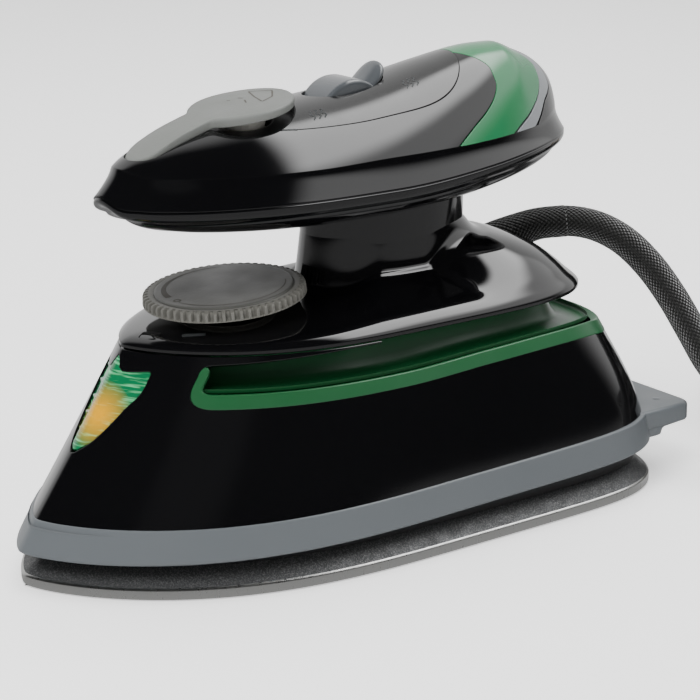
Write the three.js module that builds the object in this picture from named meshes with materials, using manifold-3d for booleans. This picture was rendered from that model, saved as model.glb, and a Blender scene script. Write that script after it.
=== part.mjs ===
// Compact travel steam iron with its mains lead, in millimetres, +Z up, nose towards -Y.
// The origin is the middle of the soleplate's underside.
import * as THREE from 'three';
import { mergeVertices } from 'three/addons/utils/BufferGeometryUtils.js';
import Module from 'manifold-3d';

const wasm = await Module();
wasm.setup();

// ---- driving dimensions ----
const GAP = 0.3;                 // clearance between neighbouring pieces
const WALL = 2.2;                // plastic wall
const NOSE_SLANT = 1.4;          // how much further an inset goes at a pointed nose
const SOLE = { nose: -87, rear: 82, width: 41.6 };
const SOLE_THICK = 2.8;
const CASTING_TOP = 12;
const SKIRT_RISE = 0.02;         // the skirt climbs this much per mm from nose to heel
const SKIRT_FOOT = 7.9;
const SKIRT_TOP = 15.2;
const HEEL_REAR = 88.4;
const HEEL_HALF = 34;
const HEEL_TOP = 18.6;
const HEEL_STEP = 13.9;
const BODY_TOP = 50.7;
const CHANNEL_FLOOR = 40.6;
const CHANNEL_LIP = 44.4;
const DIAL = { y: -32.4, top: 61.2, radius: 19.2, thick: 3.4, tilt: 5 * Math.PI / 180, teeth: 48 };
const LEVER = { y: 1.3, z: 97.1, radius: 9.6, half: 5.4, paddle: 0.85 };  // paddle is its angle at rest
const INLET = { y: -26.5, radius: 6.8 };
const NEEDLE_Y = 1.3;
const CORD_RADIUS = 4;
const COIL = { x: 30, y: 168, inner: 32, outer: 48, height: 32 };
const PLUG = { width: 46, length: 42, height: 18, entry: 130 };  // entry is an angle on the coil, in degrees

// Outline exponents, first along the length and then across, for the nose end and the rear end.
const BODY_SHAPE = { middle: 4, nose: [2.9, 1.35], rear: [7, 3], steps: 7 };
const COLUMN_SHAPE = { middle: 12, nose: [2.2, 2.2], rear: [2.4, 2.2], steps: 5 };
const HANDLE_SHAPE = { middle: 2, nose: [2.6, 2], rear: [2, 2], steps: 7 };

// Sections by height: where the nose and the rear are, and the half width.
const BODY = [
  { z: 15.5, nose: -83.2, rear: 81, width: 39.9 },
  { z: 24, nose: -77.2, rear: 78, width: 38 },
  { z: 32, nose: -72, rear: 75, width: 36 },
  { z: 41, nose: -66.2, rear: 71.5, width: 33.3 },
  { z: BODY_TOP, nose: -60.1, rear: 67.5, width: 29.8 },
];
const DECK = [
  { z: BODY_TOP + GAP, nose: -59.9, rear: 66.6, width: 29.8 },
  { z: 52.8, nose: -58.7, rear: 66, width: 29.3 },
  { z: 55, nose: -56.6, rear: 63.6, width: 26.4 },
  { z: 56.2, nose: -53.4, rear: 60.4, width: 22.5 },
];
const DOME = [
  { z: 53.6, nose: -12.5, rear: 64.6, width: 26.5 },
  { z: 57, nose: -12, rear: 61.8, width: 23.8 },
  { z: 60.5, nose: -11, rear: 56.5, width: 19 },
  { z: 63.5, nose: -10, rear: 48, width: 15 },
  { z: 66, nose: -9.4, rear: 39, width: 12.6 },
  { z: 70, nose: -9, rear: 34.5, width: 11.8 },
  { z: 81, nose: -10, rear: 35.5, width: 12.6 },
];
const HULL = [
  { z: 74.6, nose: -44, rear: 48, width: 8 },
  { z: 76.2, nose: -53.5, rear: 58.5, width: 15 },
  { z: 79.2, nose: -60.8, rear: 65.2, width: 21 },
  { z: 83.3, nose: -64.5, rear: 68.4, width: 23.9 },
];
const CROWN = [
  { z: 83.6, nose: -64.5, rear: 68.4, width: 23.9 },
  { z: 87, nose: -63, rear: 67.6, width: 22.8 },
  { z: 91, nose: -60.2, rear: 66.4, width: 21.3 },
  { z: 93.5, nose: -56.8, rear: 66, width: 20.4 },
  { z: 97.5, nose: -45.5, rear: 65.4, width: 18.2 },
  { z: 101, nose: -29, rear: 64.8, width: 15.2 },
  { z: 104, nose: -1, rear: 62.3, width: 11.2 },
  { z: 106.8, nose: 24, rear: 58, width: 6.8 },
  { z: 108.8, nose: 38, rear: 52, width: 2.5 },
];

const skirtLift = (y) => SKIRT_RISE * (y - SOLE.nose);
const handleLift = (y) => 2.8 * (Math.abs(y - 2) / 68) ** 2;

// ---- solids ----
function toSolid(geometry) {
  const bare = geometry.clone();
  bare.deleteAttribute('normal');
  bare.deleteAttribute('uv');
  const merged = mergeVertices(bare, 1e-4);
  const vertProperties = Float32Array.from(merged.attributes.position.array);
  const triVerts = Uint32Array.from(merged.index.array);
  return new wasm.Manifold(new wasm.Mesh({ numProp: 3, vertProperties, triVerts }));
}

// The largest body of a solid, without the slivers that a cut can leave.
function largest(solid) {
  return solid.decompose().reduce((best, part) => (part.volume() > best.volume() ? part : best));
}

function toGeometry(solid) {
  const mesh = solid.getMesh();
  const geometry = new THREE.BufferGeometry();
  geometry.setAttribute('position', new THREE.BufferAttribute(mesh.vertProperties, 3));
  geometry.setIndex(new THREE.BufferAttribute(mesh.triVerts, 1));
  geometry.computeVertexNormals();
  return geometry;
}

const signedPower = (value, power) => Math.sign(value) * Math.abs(value) ** power;

// A closed plan outline, anticlockwise from above, made of two superellipse ends.
function outline(section, shape, inset = 0, z = section.z, lift = () => 0) {
  const points = [];
  const count = 4 * shape.steps;
  for (let i = 0; i < count; i += 1) {
    const angle = (2 * Math.PI * i) / count;
    const ahead = Math.sin(angle) < 0;
    const [along, across] = ahead ? shape.nose : shape.rear;
    const reach = ahead
      ? shape.middle - section.nose - NOSE_SLANT * inset
      : section.rear - inset - shape.middle;
    const x = (section.width - inset) * signedPower(Math.cos(angle), 2 / across);
    const y = shape.middle + reach * signedPower(Math.sin(angle), 2 / along);
    points.push(new THREE.Vector3(x, y, z + lift(y)));
  }
  return points;
}

// The middle of a ring, halfway between its two opposite points.
const centreOf = (points) => points[0].clone().lerp(points[points.length / 2], 0.5);

// A closed solid through rings of equal count, lowest ring first.
function loft(rings) {
  const count = rings[0].length;
  const points = [...rings.flat(), centreOf(rings[0]), centreOf(rings.at(-1))];
  const index = [];
  for (let i = 0; i < count; i += 1) {
    const next = (i + 1) % count;
    for (let level = 0; level < rings.length - 1; level += 1) {
      const low = level * count;
      index.push(low + i, low + next, low + count + next);
      index.push(low + i, low + count + next, low + count + i);
    }
    const top = (rings.length - 1) * count;
    index.push(points.length - 2, next, i);
    index.push(points.length - 1, top + i, top + next);
  }
  const geometry = new THREE.BufferGeometry().setFromPoints(points);
  geometry.setIndex(index);
  return toSolid(geometry);
}

function sectionAt(sections, z) {
  const above = sections.findIndex((section) => section.z >= z);
  if (above === 0) return sections[0];
  if (above < 0) return sections.at(-1);
  const [low, high] = [sections[above - 1], sections[above]];
  const share = (z - low.z) / (high.z - low.z);
  const blend = (key) => THREE.MathUtils.lerp(low[key], high[key], share);
  return { nose: blend('nose'), rear: blend('rear'), width: blend('width') };
}

// The solid inside a stack of sections, inset by a wall, between two heights.
function stack(sections, shape, inset, bottom, top, lift) {
  const between = sections.map((section) => section.z).filter((z) => z > bottom && z < top);
  const heights = [bottom, ...between, top];
  return loft(heights.map((z) => outline(sectionAt(sections, z), shape, inset, z, lift)));
}

function box(low, high) {
  const size = high.map((value, axis) => value - low[axis]);
  const geometry = new THREE.BoxGeometry(...size);
  geometry.translate(...low.map((value, axis) => value + size[axis] / 2));
  return toSolid(geometry);
}

// An upright cylinder, or cone, between two heights.
function post(x, y, bottom, top, radius, topRadius = radius, sides = 20) {
  const geometry = new THREE.CylinderGeometry(topRadius, radius, top - bottom, sides);
  geometry.rotateX(Math.PI / 2);
  geometry.translate(x, y, (bottom + top) / 2);
  return toSolid(geometry);
}

// A cylinder along X.
function crossPin(y, z, radius, half, sides = 24) {
  const geometry = new THREE.CylinderGeometry(radius, radius, 2 * half, sides);
  geometry.rotateZ(Math.PI / 2);
  geometry.translate(0, y, z);
  return toSolid(geometry);
}

// A side view polygon of [y, z] points, extruded across the iron.
function sideProfile(points, half) {
  const shape = new THREE.Shape(points.map(([y, z]) => new THREE.Vector2(y, z)));
  const geometry = new THREE.ExtrudeGeometry(shape, { depth: 2 * half, bevelEnabled: false });
  geometry.translate(0, 0, -half);
  geometry.rotateX(Math.PI / 2);
  geometry.rotateZ(Math.PI / 2);
  return toSolid(geometry);
}

// A plan view shape, extruded upwards.
function planProfile(shape, bottom, top, curveSegments = 8) {
  const options = { depth: top - bottom, bevelEnabled: false, curveSegments };
  const geometry = new THREE.ExtrudeGeometry(shape, options);
  geometry.translate(0, 0, bottom);
  return toSolid(geometry);
}

// Where the lead leaves the deck, inside the strain relief.
const exitRoute = [[-10.6, 50.2, 54.6], [-7.4, 59.6, 58.6], [-4.1, 66.4, 61.1], [0, 72.9, 61.9]];

// A tube along points, round and closed at both ends.
function tube(points, radius, steps, sides = 8) {
  const circle = new THREE.Shape();
  for (let i = 0; i < sides; i += 1) {
    const angle = (2 * Math.PI * i) / sides;
    const spot = [radius * Math.cos(angle), radius * Math.sin(angle)];
    if (i === 0) circle.moveTo(...spot);
    else circle.lineTo(...spot);
  }
  const extrudePath = new THREE.CatmullRomCurve3(points.map((point) => new THREE.Vector3(...point)));
  return toSolid(new THREE.ExtrudeGeometry(circle, { steps, bevelEnabled: false, extrudePath }));
}

const UP = new THREE.Vector3(0, 0, 1);

// A tapered sleeve along points, from one radius to the other.
function sleeve(points, firstRadius, lastRadius, steps = 8, sides = 14) {
  const path = new THREE.CatmullRomCurve3(points.map((point) => new THREE.Vector3(...point)));
  const across = new THREE.Vector3();
  const upright = new THREE.Vector3();
  const rings = [];
  for (let i = 0; i <= steps; i += 1) {
    const centre = path.getPointAt(i / steps);
    const ahead = path.getTangentAt(i / steps);
    across.crossVectors(UP, ahead).normalize();
    upright.crossVectors(ahead, across);
    const radius = THREE.MathUtils.lerp(firstRadius, lastRadius, i / steps);
    rings.push(Array.from({ length: sides }, (_, k) => {
      const angle = (2 * Math.PI * k) / sides;
      return centre.clone()
        .addScaledVector(across, radius * Math.cos(angle))
        .addScaledVector(upright, radius * Math.sin(angle));
    }));
  }
  return loft(rings);
}

const glandSpace = () => sleeve(exitRoute, 5.2 + 1.5 * GAP, 4.4 + 1.5 * GAP);
const cut = (solid, ...tools) => tools.reduce((left, tool) => left.subtract(tool), solid);
const join = (solid, ...more) => more.reduce((left, other) => left.add(other), solid);
const common = (a, b) => a.intersect(b);

// ---- materials ----
const finish = (color, roughness, metalness = 0) => (
  new THREE.MeshStandardMaterial({ color, roughness, metalness })
);
const glossBlack = finish(0x0a0a0b, 0.12);
const satinBlack = finish(0x161617, 0.5);
const skirtGrey = finish(0x6b7074, 0.4);
const dialGrey = finish(0x696965, 0.55);
const capGrey = finish(0xacaea8, 0.5);
const leverGrey = finish(0x6e7478, 0.35);
const channelGreen = finish(0x2f7a4a, 0.4);
const bandGreen = finish(0x3ca564, 0.2);
const lensGreen = finish(0x46be82, 0.1);
const lampAmber = finish(0xe1af28, 0.3);
const soleMetal = finish(0x9a9a98, 0.3, 1);
const castMetal = finish(0x77787a, 0.6, 1);
const steel = finish(0xb8bcc0, 0.3, 1);
const brass = finish(0xb9994f, 0.35, 1);
const clearTank = finish(0xbfd4dc, 0.15);
const silicone = finish(0xd8d6cf, 0.6);
const ceramic = finish(0xe6e1d4, 0.7);
const textile = finish(0x141415, 0.9);

const iron = new THREE.Group();

function addNode(name, solid, material, parent = iron) {
  const mesh = new THREE.Mesh(toGeometry(largest(solid)), material);
  mesh.name = name;
  parent.add(mesh);
  return mesh;
}

// ---- hot end ----
const soleStack = (inset, bottom, top) => (
  loft([bottom, top].map((z) => outline(SOLE, BODY_SHAPE, inset, z)))
);

function makeSoleplate() {
  const profile = [
    [0, 0.5], [0.5, 0], [2.4, 0], [SOLE_THICK, 0.4], [6.4, 4.6], [6.5, 6], [CASTING_TOP, 6.4],
  ];
  const plate = loft(profile.map(([z, inset]) => outline(SOLE, BODY_SHAPE, inset, z)));
  const chamber = soleStack(16, 5, CASTING_TOP + 1);
  const grooveRing = cut(soleStack(7.7, 6.1, CASTING_TOP + 1), soleStack(14.3, 6, CASTING_TOP + 2));
  const groove = common(grooveRing, box([-50, -90, 0], [50, 62, 20]));
  const holes = [[0, -56], [10, -45], [15, -31], [18, -14], [19, 4], [19, 22], [18, 40]];
  const drilled = holes.flatMap(([x, y]) => (
    (x ? [x, -x] : [0]).map((side) => post(side, y, -1, 6, 1.6, 1.6, 10))
  ));
  return cut(plate, chamber, groove, ...drilled);
}

function makeElement() {
  const ring = outline(SOLE, { ...BODY_SHAPE, steps: 5 }, 11, 9.2);
  const front = ring.filter((point) => point.y < 10).sort((a, b) => a.x - b.x);
  const end = [28.6, 58, 9.2];
  const bend = front.map((point) => point.toArray());
  const points = [[-end[0], end[1], end[2]], [-30.3, 36, 9.2], ...bend, [30.3, 36, 9.2], end];
  return tube(points, 2.6, 36, 7);
}

addNode('soleplate', makeSoleplate(), soleMetal);
addNode('heating_element', makeElement(), steel);
for (const side of [-1, 1]) {
  const name = side < 0 ? 'right' : 'left';
  addNode(`element_terminal_${name}`, post(side * 28.9, 55, 12.2, 24, 1.5), brass);
}

const coverScrews = [[-20, 50], [20, 50], [-17, -36], [17, -36]];
const cover = cut(
  soleStack(15, CASTING_TOP + GAP, CASTING_TOP + 1.8),
  post(0, NEEDLE_Y, 10, 20, 3.4),
  ...coverScrews.map(([x, y]) => post(x, y, 10, 20, 1.5, 1.5, 12)),
);
addNode('steam_chamber_cover', cover, castMetal);
coverScrews.forEach(([x, y], i) => {
  const head = post(x, y, CASTING_TOP + 1.8 + GAP, CASTING_TOP + 3.6, 2.6, 2.6, 12);
  const shank = post(x, y, CASTING_TOP - 2, CASTING_TOP + 2.6, 1.1, 1.1, 12);
  addNode(`cover_screw_${i + 1}`, join(head, shank), steel);
});

const shieldRing = cut(
  loft([outline(SOLE, BODY_SHAPE, 2.6, 6.8), outline(SOLE, BODY_SHAPE, 1.8, SKIRT_FOOT - GAP, skirtLift)]),
  soleStack(5.6, 2, 20),
);
const bevelClear = loft([[2.5, -1], [6.4 + GAP, 4.7], [6.5 + GAP, 5.6]].map(([z, inset]) => (
  outline(SOLE, BODY_SHAPE, inset, z)
)));
addNode('heat_shield', cut(shieldRing, bevelClear), satinBlack);

// ---- skirt and body ----
const bodyStack = (inset, bottom, top) => stack(BODY, BODY_SHAPE, inset, bottom, top);
const bodyOuter = () => loft(BODY.map((section, i) => (
  outline(section, BODY_SHAPE, 0, section.z, i ? undefined : skirtLift)
)));

function heelSolid() {
  const plan = new THREE.Shape();
  plan.moveTo(-HEEL_HALF, 55);
  plan.lineTo(HEEL_HALF, 55);
  plan.lineTo(HEEL_HALF, HEEL_REAR - 4);
  plan.quadraticCurveTo(HEEL_HALF, HEEL_REAR, HEEL_HALF - 4, HEEL_REAR);
  plan.lineTo(-HEEL_HALF + 4, HEEL_REAR);
  plan.quadraticCurveTo(-HEEL_HALF, HEEL_REAR, -HEEL_HALF, HEEL_REAR - 4);
  const tail = planProfile(plan, HEEL_STEP, HEEL_TOP, 4);
  const step = box([-HEEL_HALF, 55, SKIRT_FOOT + 3.2], [HEEL_HALF, 79.5, HEEL_STEP + 1]);
  return join(tail, step);
}

const heelScrews = [[-24, 84], [24, 84]];

function makeSkirt() {
  const foot = { nose: -87.8, rear: 81.5, width: 41.9 };
  const top = { nose: -83.9, rear: 81.2, width: 40.2 };
  const band = loft([
    outline(foot, BODY_SHAPE, 0.5, SKIRT_FOOT, skirtLift),
    outline(foot, BODY_SHAPE, 0, SKIRT_FOOT + 0.6, skirtLift),
    outline(top, BODY_SHAPE, 0, SKIRT_TOP, skirtLift),
  ]);
  const hollow = loft([
    outline(foot, BODY_SHAPE, WALL, SKIRT_FOOT - 5, skirtLift),
    outline(foot, BODY_SHAPE, WALL, SKIRT_FOOT, skirtLift),
    outline(top, BODY_SHAPE, WALL, SKIRT_TOP, skirtLift),
    outline(top, BODY_SHAPE, WALL, SKIRT_TOP + 12, skirtLift),
  ]);
  const bodySpace = loft([
    outline(BODY[0], BODY_SHAPE, -GAP, SKIRT_TOP, skirtLift),
    outline(BODY[0], BODY_SHAPE, -GAP, HEEL_TOP + 3),
  ]);
  const pockets = heelScrews.flatMap(([x, y]) => [
    post(x, y, HEEL_STEP - 1, HEEL_STEP + 1.6, 3.2, 3.2, 16),
    post(x, y, HEEL_STEP - 1, HEEL_STEP + 4, 1.5, 1.5, 12),
  ]);
  return cut(join(band, heelSolid()), hollow, bodySpace, ...pockets);
}

const channelFace = (shift) => [
  [-54.4 + shift, CHANNEL_FLOOR - Math.abs(shift)],
  [-45.1 + shift, BODY_TOP + 4],
  [100, BODY_TOP + 4],
  [100, CHANNEL_FLOOR - Math.abs(shift)],
];
const lensFace = (grow) => [
  [-76.5 + grow, 26.5 - grow],
  [-56 + grow, 46.8 + grow],
  [-90, 46.8 + grow],
  [-95, 26.5 - grow],
];

function makeBodyShell() {
  const shell = cut(bodyOuter(), bodyStack(WALL, 10, BODY_TOP + 5));
  const channelSpace = sideProfile(channelFace(-GAP), 60);
  const lensSpace = sideProfile(lensFace(GAP), 60);
  return cut(shell, channelSpace, lensSpace);
}

function makeLens() {
  const skin = cut(bodyOuter(), bodyStack(1.8, 10, BODY_TOP + 5));
  return common(skin, sideProfile(lensFace(0), 60));
}

function makeChannel() {
  const bottom = CHANNEL_FLOOR + 1.8;
  const block = common(bodyStack(0, 30, BODY_TOP), sideProfile(channelFace(0), 60));
  const behindLip = bodyStack(1.8, bottom, BODY_TOP + 1);
  const aboveLip = box([-60, -70, CHANNEL_LIP], [60, 100, BODY_TOP + 1]);
  const core = bodyStack(9.5, 30, BODY_TOP + 3);
  const groove = common(join(behindLip, aboveLip), sideProfile(channelFace(2), 60));
  const gland = glandSpace();
  return cut(block, cut(groove, core), bodyStack(11.5, 30, BODY_TOP + 3), gland);
}

addNode('skirt', makeSkirt(), skirtGrey);
heelScrews.forEach(([x, y], i) => {
  const head = post(x, y, HEEL_STEP + 0.2, HEEL_STEP + 1.3, 2.8, 2.8, 16);
  const shank = post(x, y, HEEL_STEP + 1, HEEL_STEP + 3.6, 1.2, 1.2, 12);
  addNode(`heel_screw_${i + 1}`, join(head, shank), steel);
});
addNode('body_shell', makeBodyShell(), glossBlack);
addNode('nose_lens', makeLens(), lensGreen);
addNode('cord_channel', makeChannel(), channelGreen);
const lamp = new THREE.SphereGeometry(2.2, 12, 8);
lamp.scale(1, 1, 1.7);
addNode('pilot_lamp', toSolid(lamp), lampAmber).position.set(0, -60.3, 37);

// ---- deck with its column ----
const hullStack = (inset, bottom, top) => stack(HULL, HANDLE_SHAPE, inset, bottom, top, handleLift);

// Two screws hold the handle down on bosses inside the column.
const handleScrews = [12, 25];

function domeStack(inset, bottom, top) {
  return stack(DOME, COLUMN_SHAPE, inset, bottom, top);
}

const dialAxis = new THREE.Vector3(0, -Math.sin(DIAL.tilt), Math.cos(DIAL.tilt));
const dialCentre = new THREE.Vector3(0, DIAL.y, DIAL.top).addScaledVector(dialAxis, -DIAL.thick);

// A cylinder on the dial's axis, between two distances above the dial's underside.
function onDialAxis(low, high, radius, sides = 24) {
  const geometry = new THREE.CylinderGeometry(radius, radius, high - low, sides);
  geometry.rotateX(Math.PI / 2 + DIAL.tilt);
  geometry.translate(...dialCentre.clone().addScaledVector(dialAxis, (low + high) / 2).toArray());
  return toSolid(geometry);
}

function makeDeck() {
  const slab = stack(DECK, BODY_SHAPE, 0, DECK[0].z, DECK.at(-1).z);
  const slabHollow = stack(DECK, BODY_SHAPE, WALL, DECK[0].z - 3, DECK.at(-1).z - 1.8);
  const outer = join(slab, domeStack(0, DOME[0].z, DOME.at(-1).z));
  const hollow = join(slabHollow, domeStack(WALL, DOME[0].z - 4, DOME.at(-1).z + 1));
  const hullSpace = hullStack(-GAP, HULL[0].z - GAP, HULL.at(-1).z + 3);
  const gland = glandSpace();
  const dialSpace = onDialAxis(-1.6, 8, DIAL.radius + 0.6, 40);
  const bosses = handleScrews.map((y) => (
    common(box([-20, y - 3, 66], [20, y + 3, 77]), domeStack(0.6, 60, 80))
  ));
  const shanks = handleScrews.map((y) => post(0, y, 60, 80, 1.5));
  const shaftHole = onDialAxis(-30, 2, 3.2);
  return cut(join(cut(outer, hollow), ...bosses), hullSpace, gland, dialSpace, shaftHole, ...shanks);
}

addNode('deck_cover', makeDeck(), glossBlack);

// ---- temperature dial ----
function makeDial() {
  const shape = new THREE.Shape();
  const points = 4 * DIAL.teeth;
  for (let i = 0; i < points; i += 1) {
    const angle = (2 * Math.PI * i) / points;
    const radius = i % 4 < 2 ? DIAL.radius : DIAL.radius - 0.7;
    const spot = [radius * Math.cos(angle), radius * Math.sin(angle)];
    if (i === 0) shape.moveTo(...spot);
    else shape.lineTo(...spot);
  }
  return toSolid(new THREE.ExtrudeGeometry(shape, { depth: DIAL.thick, bevelEnabled: false }));
}

const dialGroup = new THREE.Group();
dialGroup.position.copy(dialCentre);
dialGroup.rotation.x = DIAL.tilt;
iron.add(dialGroup);
addNode('temperature_dial', makeDial(), dialGrey, dialGroup);
addNode('dial_shaft', post(0, 0, -23, -GAP, 2.5, 2.5, 16), steel, dialGroup);
const collar = cut(post(0, 0, -1.3, -GAP, 10.4, 9.6, 28), post(0, 0, -4, 4, 3.2));
addNode('dial_collar', collar, dialGrey, dialGroup);

const thermostatY = dialCentre.y + 24 * Math.tan(DIAL.tilt);
addNode('thermostat', join(
  post(0, thermostatY, 19.3, 30, 9, 9, 20),
  post(0, thermostatY, 29, 33, 5, 5, 20),
), ceramic);
addNode('thermostat_bracket', join(
  box([-12, thermostatY - 8, 14.2], [12, thermostatY + 8, 15.6]),
  box([-9, thermostatY - 6, 15], [9, thermostatY + 6, 19]),
), steel);
addNode('thermal_fuse', join(
  box([-20, 12, 14.2], [-10, 22, 15.4]),
  post(-15, 17, 15, 19.5, 3.4),
), ceramic);

// ---- wiring ----
addNode('terminal_block', cut(
  box([-13, 34, 18], [13, 46, 30]),
  ...[-8, 0, 8].map((x) => post(x, 40, 24, 31, 2.2, 2.2, 12)),
), satinBlack);
const tailDrop = [[-12, 42.5, 45], [-9, 40, 38], [-8, 40, 32]];
addNode('supply_tail', tube([[-11.5, 46, 50.5], ...tailDrop, [-8, 40, 30.5]], 3, 14), textile);
addNode('cord_clamp', cut(
  box([-17, 41, 41.5], [-7, 45, 47]),
  tube([[-11.5, 46.5, 51.5], ...tailDrop], 3.3, 10),
), satinBlack);
const wires = {
  live_wire: { color: 0x7a4a2a, points: [[7, 33.6, 24], [12, 24, 25], [14, 4, 26], [9.5, -18, 25]] },
  neutral_wire: { color: 0x2f5f9a, points: [[13.8, 42, 24], [19, 46, 26], [24, 51, 27.4], [28.9, 55, 25.6]] },
  earth_wire: { color: 0x8aa33a, points: [[-7, 33, 24], [-12, 29, 22], [-15, 27, 18], [-16, 26, 14.6]] },
};
for (const [name, wire] of Object.entries(wires)) {
  addNode(name, tube(wire.points, 1.1, 10, 6), finish(wire.color, 0.45));
}

// ---- handle ----
function makeHull() {
  const outer = loft(HULL.map((section) => outline(section, HANDLE_SHAPE, 0, section.z, handleLift)));
  const hollow = stack(HULL, HANDLE_SHAPE, WALL, HULL[0].z + WALL, HULL.at(-1).z + 2, handleLift);
  const shanks = handleScrews.map((y) => post(0, y, 70, 80, 1.6));
  return cut(outer, hollow, post(0, NEEDLE_Y, 70, 80, 4.6), ...shanks);
}

// The upper shell. The lift of its edge fades out towards the shoulder.
function crownSolid(inset) {
  const rings = CROWN.map((section) => {
    const share = THREE.MathUtils.clamp((93.5 - section.z) / 9.9, 0, 1);
    const z = section.z - (section === CROWN[0] ? 0 : inset);
    const middle = Math.max(HANDLE_SHAPE.middle, THREE.MathUtils.lerp(section.nose, section.rear, 0.35));
    return outline(section, { ...HANDLE_SHAPE, middle }, inset, z, (y) => handleLift(y) * share);
  });
  if (inset > 0) {
    rings.unshift(outline(CROWN[0], HANDLE_SHAPE, inset, CROWN[0].z - 4, handleLift));
  }
  return loft(rings.filter((ring) => ring[0].x > 0.4));
}

const panelShape = (grow) => {
  const shape = new THREE.Shape();
  shape.absellipse(0, -6.5, 15.2 + grow, 38.5 + grow, 0, 2 * Math.PI);
  return shape;
};
const bandFace = (grow) => [
  [16.5 - grow, 88], [22 - grow, 91], [31 - grow, 97.2], [39.5 - grow, 104.6], [43 - grow, 114],
  [58 + grow, 114], [55.5 + grow, 106], [54.5 + grow, 102], [52.4 + grow, 99], [47.7 + grow, 95],
  [39.5 + grow, 91], [33 + grow, 88],
];

// The filler cap: a disc, a neck and a long tongue, in plan, and its curved side view.
function capShape(grow) {
  const shape = new THREE.Shape();
  const disc = 12.8 + grow;
  const neck = 4.6 + grow;
  const tip = 5 + grow;
  shape.moveTo(neck, -39);
  shape.absarc(0, INLET.y, disc, -1.15, Math.PI + 1.15, false);
  shape.lineTo(-neck, -39);
  shape.lineTo(-tip, -54 - grow / 2);
  shape.absarc(0, -54 - grow / 2, tip, Math.PI, 2 * Math.PI, false);
  shape.lineTo(neck, -39);
  return shape;
}
const capLine = [[-62, 93.6], [-50, 98.4], [-40.5, 101.7], [-30, 103.9], [-12, 106]];
const capSide = (under, over) => [
  ...capLine.map(([y, z]) => [y, z - under]),
  ...capLine.toReversed().map(([y, z]) => [y, z + over]),
];
const capSpace = () => common(planProfile(capShape(GAP), 85, 125), sideProfile(capSide(2 + GAP, 12), 30));

function makeCrown() {
  const skin = cut(crownSolid(0), crownSolid(WALL));
  const bandSpace = cut(sideProfile(bandFace(GAP), 40), crownSolid(1.3));
  return cut(skin, planProfile(panelShape(GAP), 93.8, 125, 20), bandSpace, capSpace());
}

function makeTopPanel() {
  const skin = cut(crownSolid(0), crownSolid(WALL));
  const plate = common(skin, planProfile(panelShape(0), 93.8 + GAP, 125, 20));
  const ears = [-1, 1].map((side) => {
    const [low, high] = [side * 6.2, side * 8.2].sort((a, b) => a - b);
    return box([low, LEVER.y - 3, LEVER.z - 3.5], [high, LEVER.y + 3, 101]);
  });
  const slot = box([-LEVER.half - 0.7, LEVER.y - 11.6, 90], [LEVER.half + 0.7, LEVER.y + 11.6, 125]);
  const inlet = post(0, INLET.y, 90, 125, INLET.radius);
  const pinHole = crossPin(LEVER.y, LEVER.z, 1.8, 10, 16);
  return cut(join(plate, ...ears), slot, inlet, pinHole, capSpace());
}

addNode('handle_lower', makeHull(), glossBlack);
handleScrews.forEach((y, i) => {
  const seat = HULL[0].z + WALL + 0.9;
  const head = post(0, y, seat, seat + 1.6, 2.9, 2.9, 12);
  addNode(`handle_screw_${i + 1}`, join(head, post(0, y, 69, seat + 1, 1.2, 1.2, 12)), steel);
});
addNode('handle_upper', makeCrown(), glossBlack);
addNode('top_panel', makeTopPanel(), satinBlack);
addNode('green_band', common(cut(crownSolid(0), crownSolid(1)), sideProfile(bandFace(0), 40)), bandGreen);

// ---- filler cap and water tank ----
addNode('fill_cap', common(planProfile(capShape(0), 85, 125), sideProfile(capSide(2, 0), 30)), capGrey);
addNode('fill_plug', post(0, INLET.y, 97.6, 101.2, 4.9, 5.6), silicone);

const TANK = { nose: -48, rear: 24, width: 15.5 };
const TANK_SHAPE = { middle: -10, nose: [2.6, 2], rear: [3, 3], steps: 5 };
const tankStack = (inset, bottom, top) => (
  loft([bottom, top].map((z) => outline(TANK, TANK_SHAPE, inset, z)))
);
addNode('water_tank', cut(
  tankStack(0, 79.6, 88.4),
  tankStack(1.4, 81, 90),
  post(0, NEEDLE_Y, 76, 84, 2.9),
), clearTank);
addNode('inlet_seal', cut(
  post(0, INLET.y, 96.2, 97, 7.4),
  post(0, INLET.y, 96, 99, 6.4),
), silicone);
addNode('tank_lid', cut(
  join(tankStack(0, 88.7, 90), post(0, INLET.y, 89, 96, 7.6)),
  post(0, INLET.y, 80, 97, 6.4),
  post(0, NEEDLE_Y, 80, 97, 2),
), clearTank);

// ---- steam lever and its valve ----
// The drum covers its slot over the whole travel; a wedge below the pin is left out.
function makeLever() {
  const reach = 30;
  const wedgeAngles = [166, 220, 275, 330].map(THREE.MathUtils.degToRad);
  const wedge = [[0, 0], ...wedgeAngles.map((a) => [reach * Math.cos(a), reach * Math.sin(a)])];
  const drum = cut(crossPin(0, 0, LEVER.radius, LEVER.half, 40), sideProfile(wedge, 20));
  const finShape = new THREE.Shape();
  finShape.moveTo(-4.6, 6);
  finShape.lineTo(-4.6, 11.4);
  finShape.absarc(0, 11.4, 4.6, Math.PI, 0, true);
  finShape.lineTo(4.6, 6);
  const fin = new THREE.ExtrudeGeometry(finShape, { depth: 3, bevelEnabled: false, curveSegments: 8 });
  fin.translate(0, 0, -1.5);
  fin.rotateX(LEVER.paddle);
  return cut(join(drum, crossPin(0, 0, 3.6, LEVER.half, 20), toSolid(fin)), crossPin(0, 0, 1.8, 10, 16));
}

const leverGroup = new THREE.Group();
leverGroup.position.set(0, LEVER.y, LEVER.z);
iron.add(leverGroup);
addNode('steam_lever', makeLever(), leverGrey, leverGroup);
addNode('lever_pin', crossPin(0, 0, 1.5, 8.4, 16), steel, leverGroup);

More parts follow.
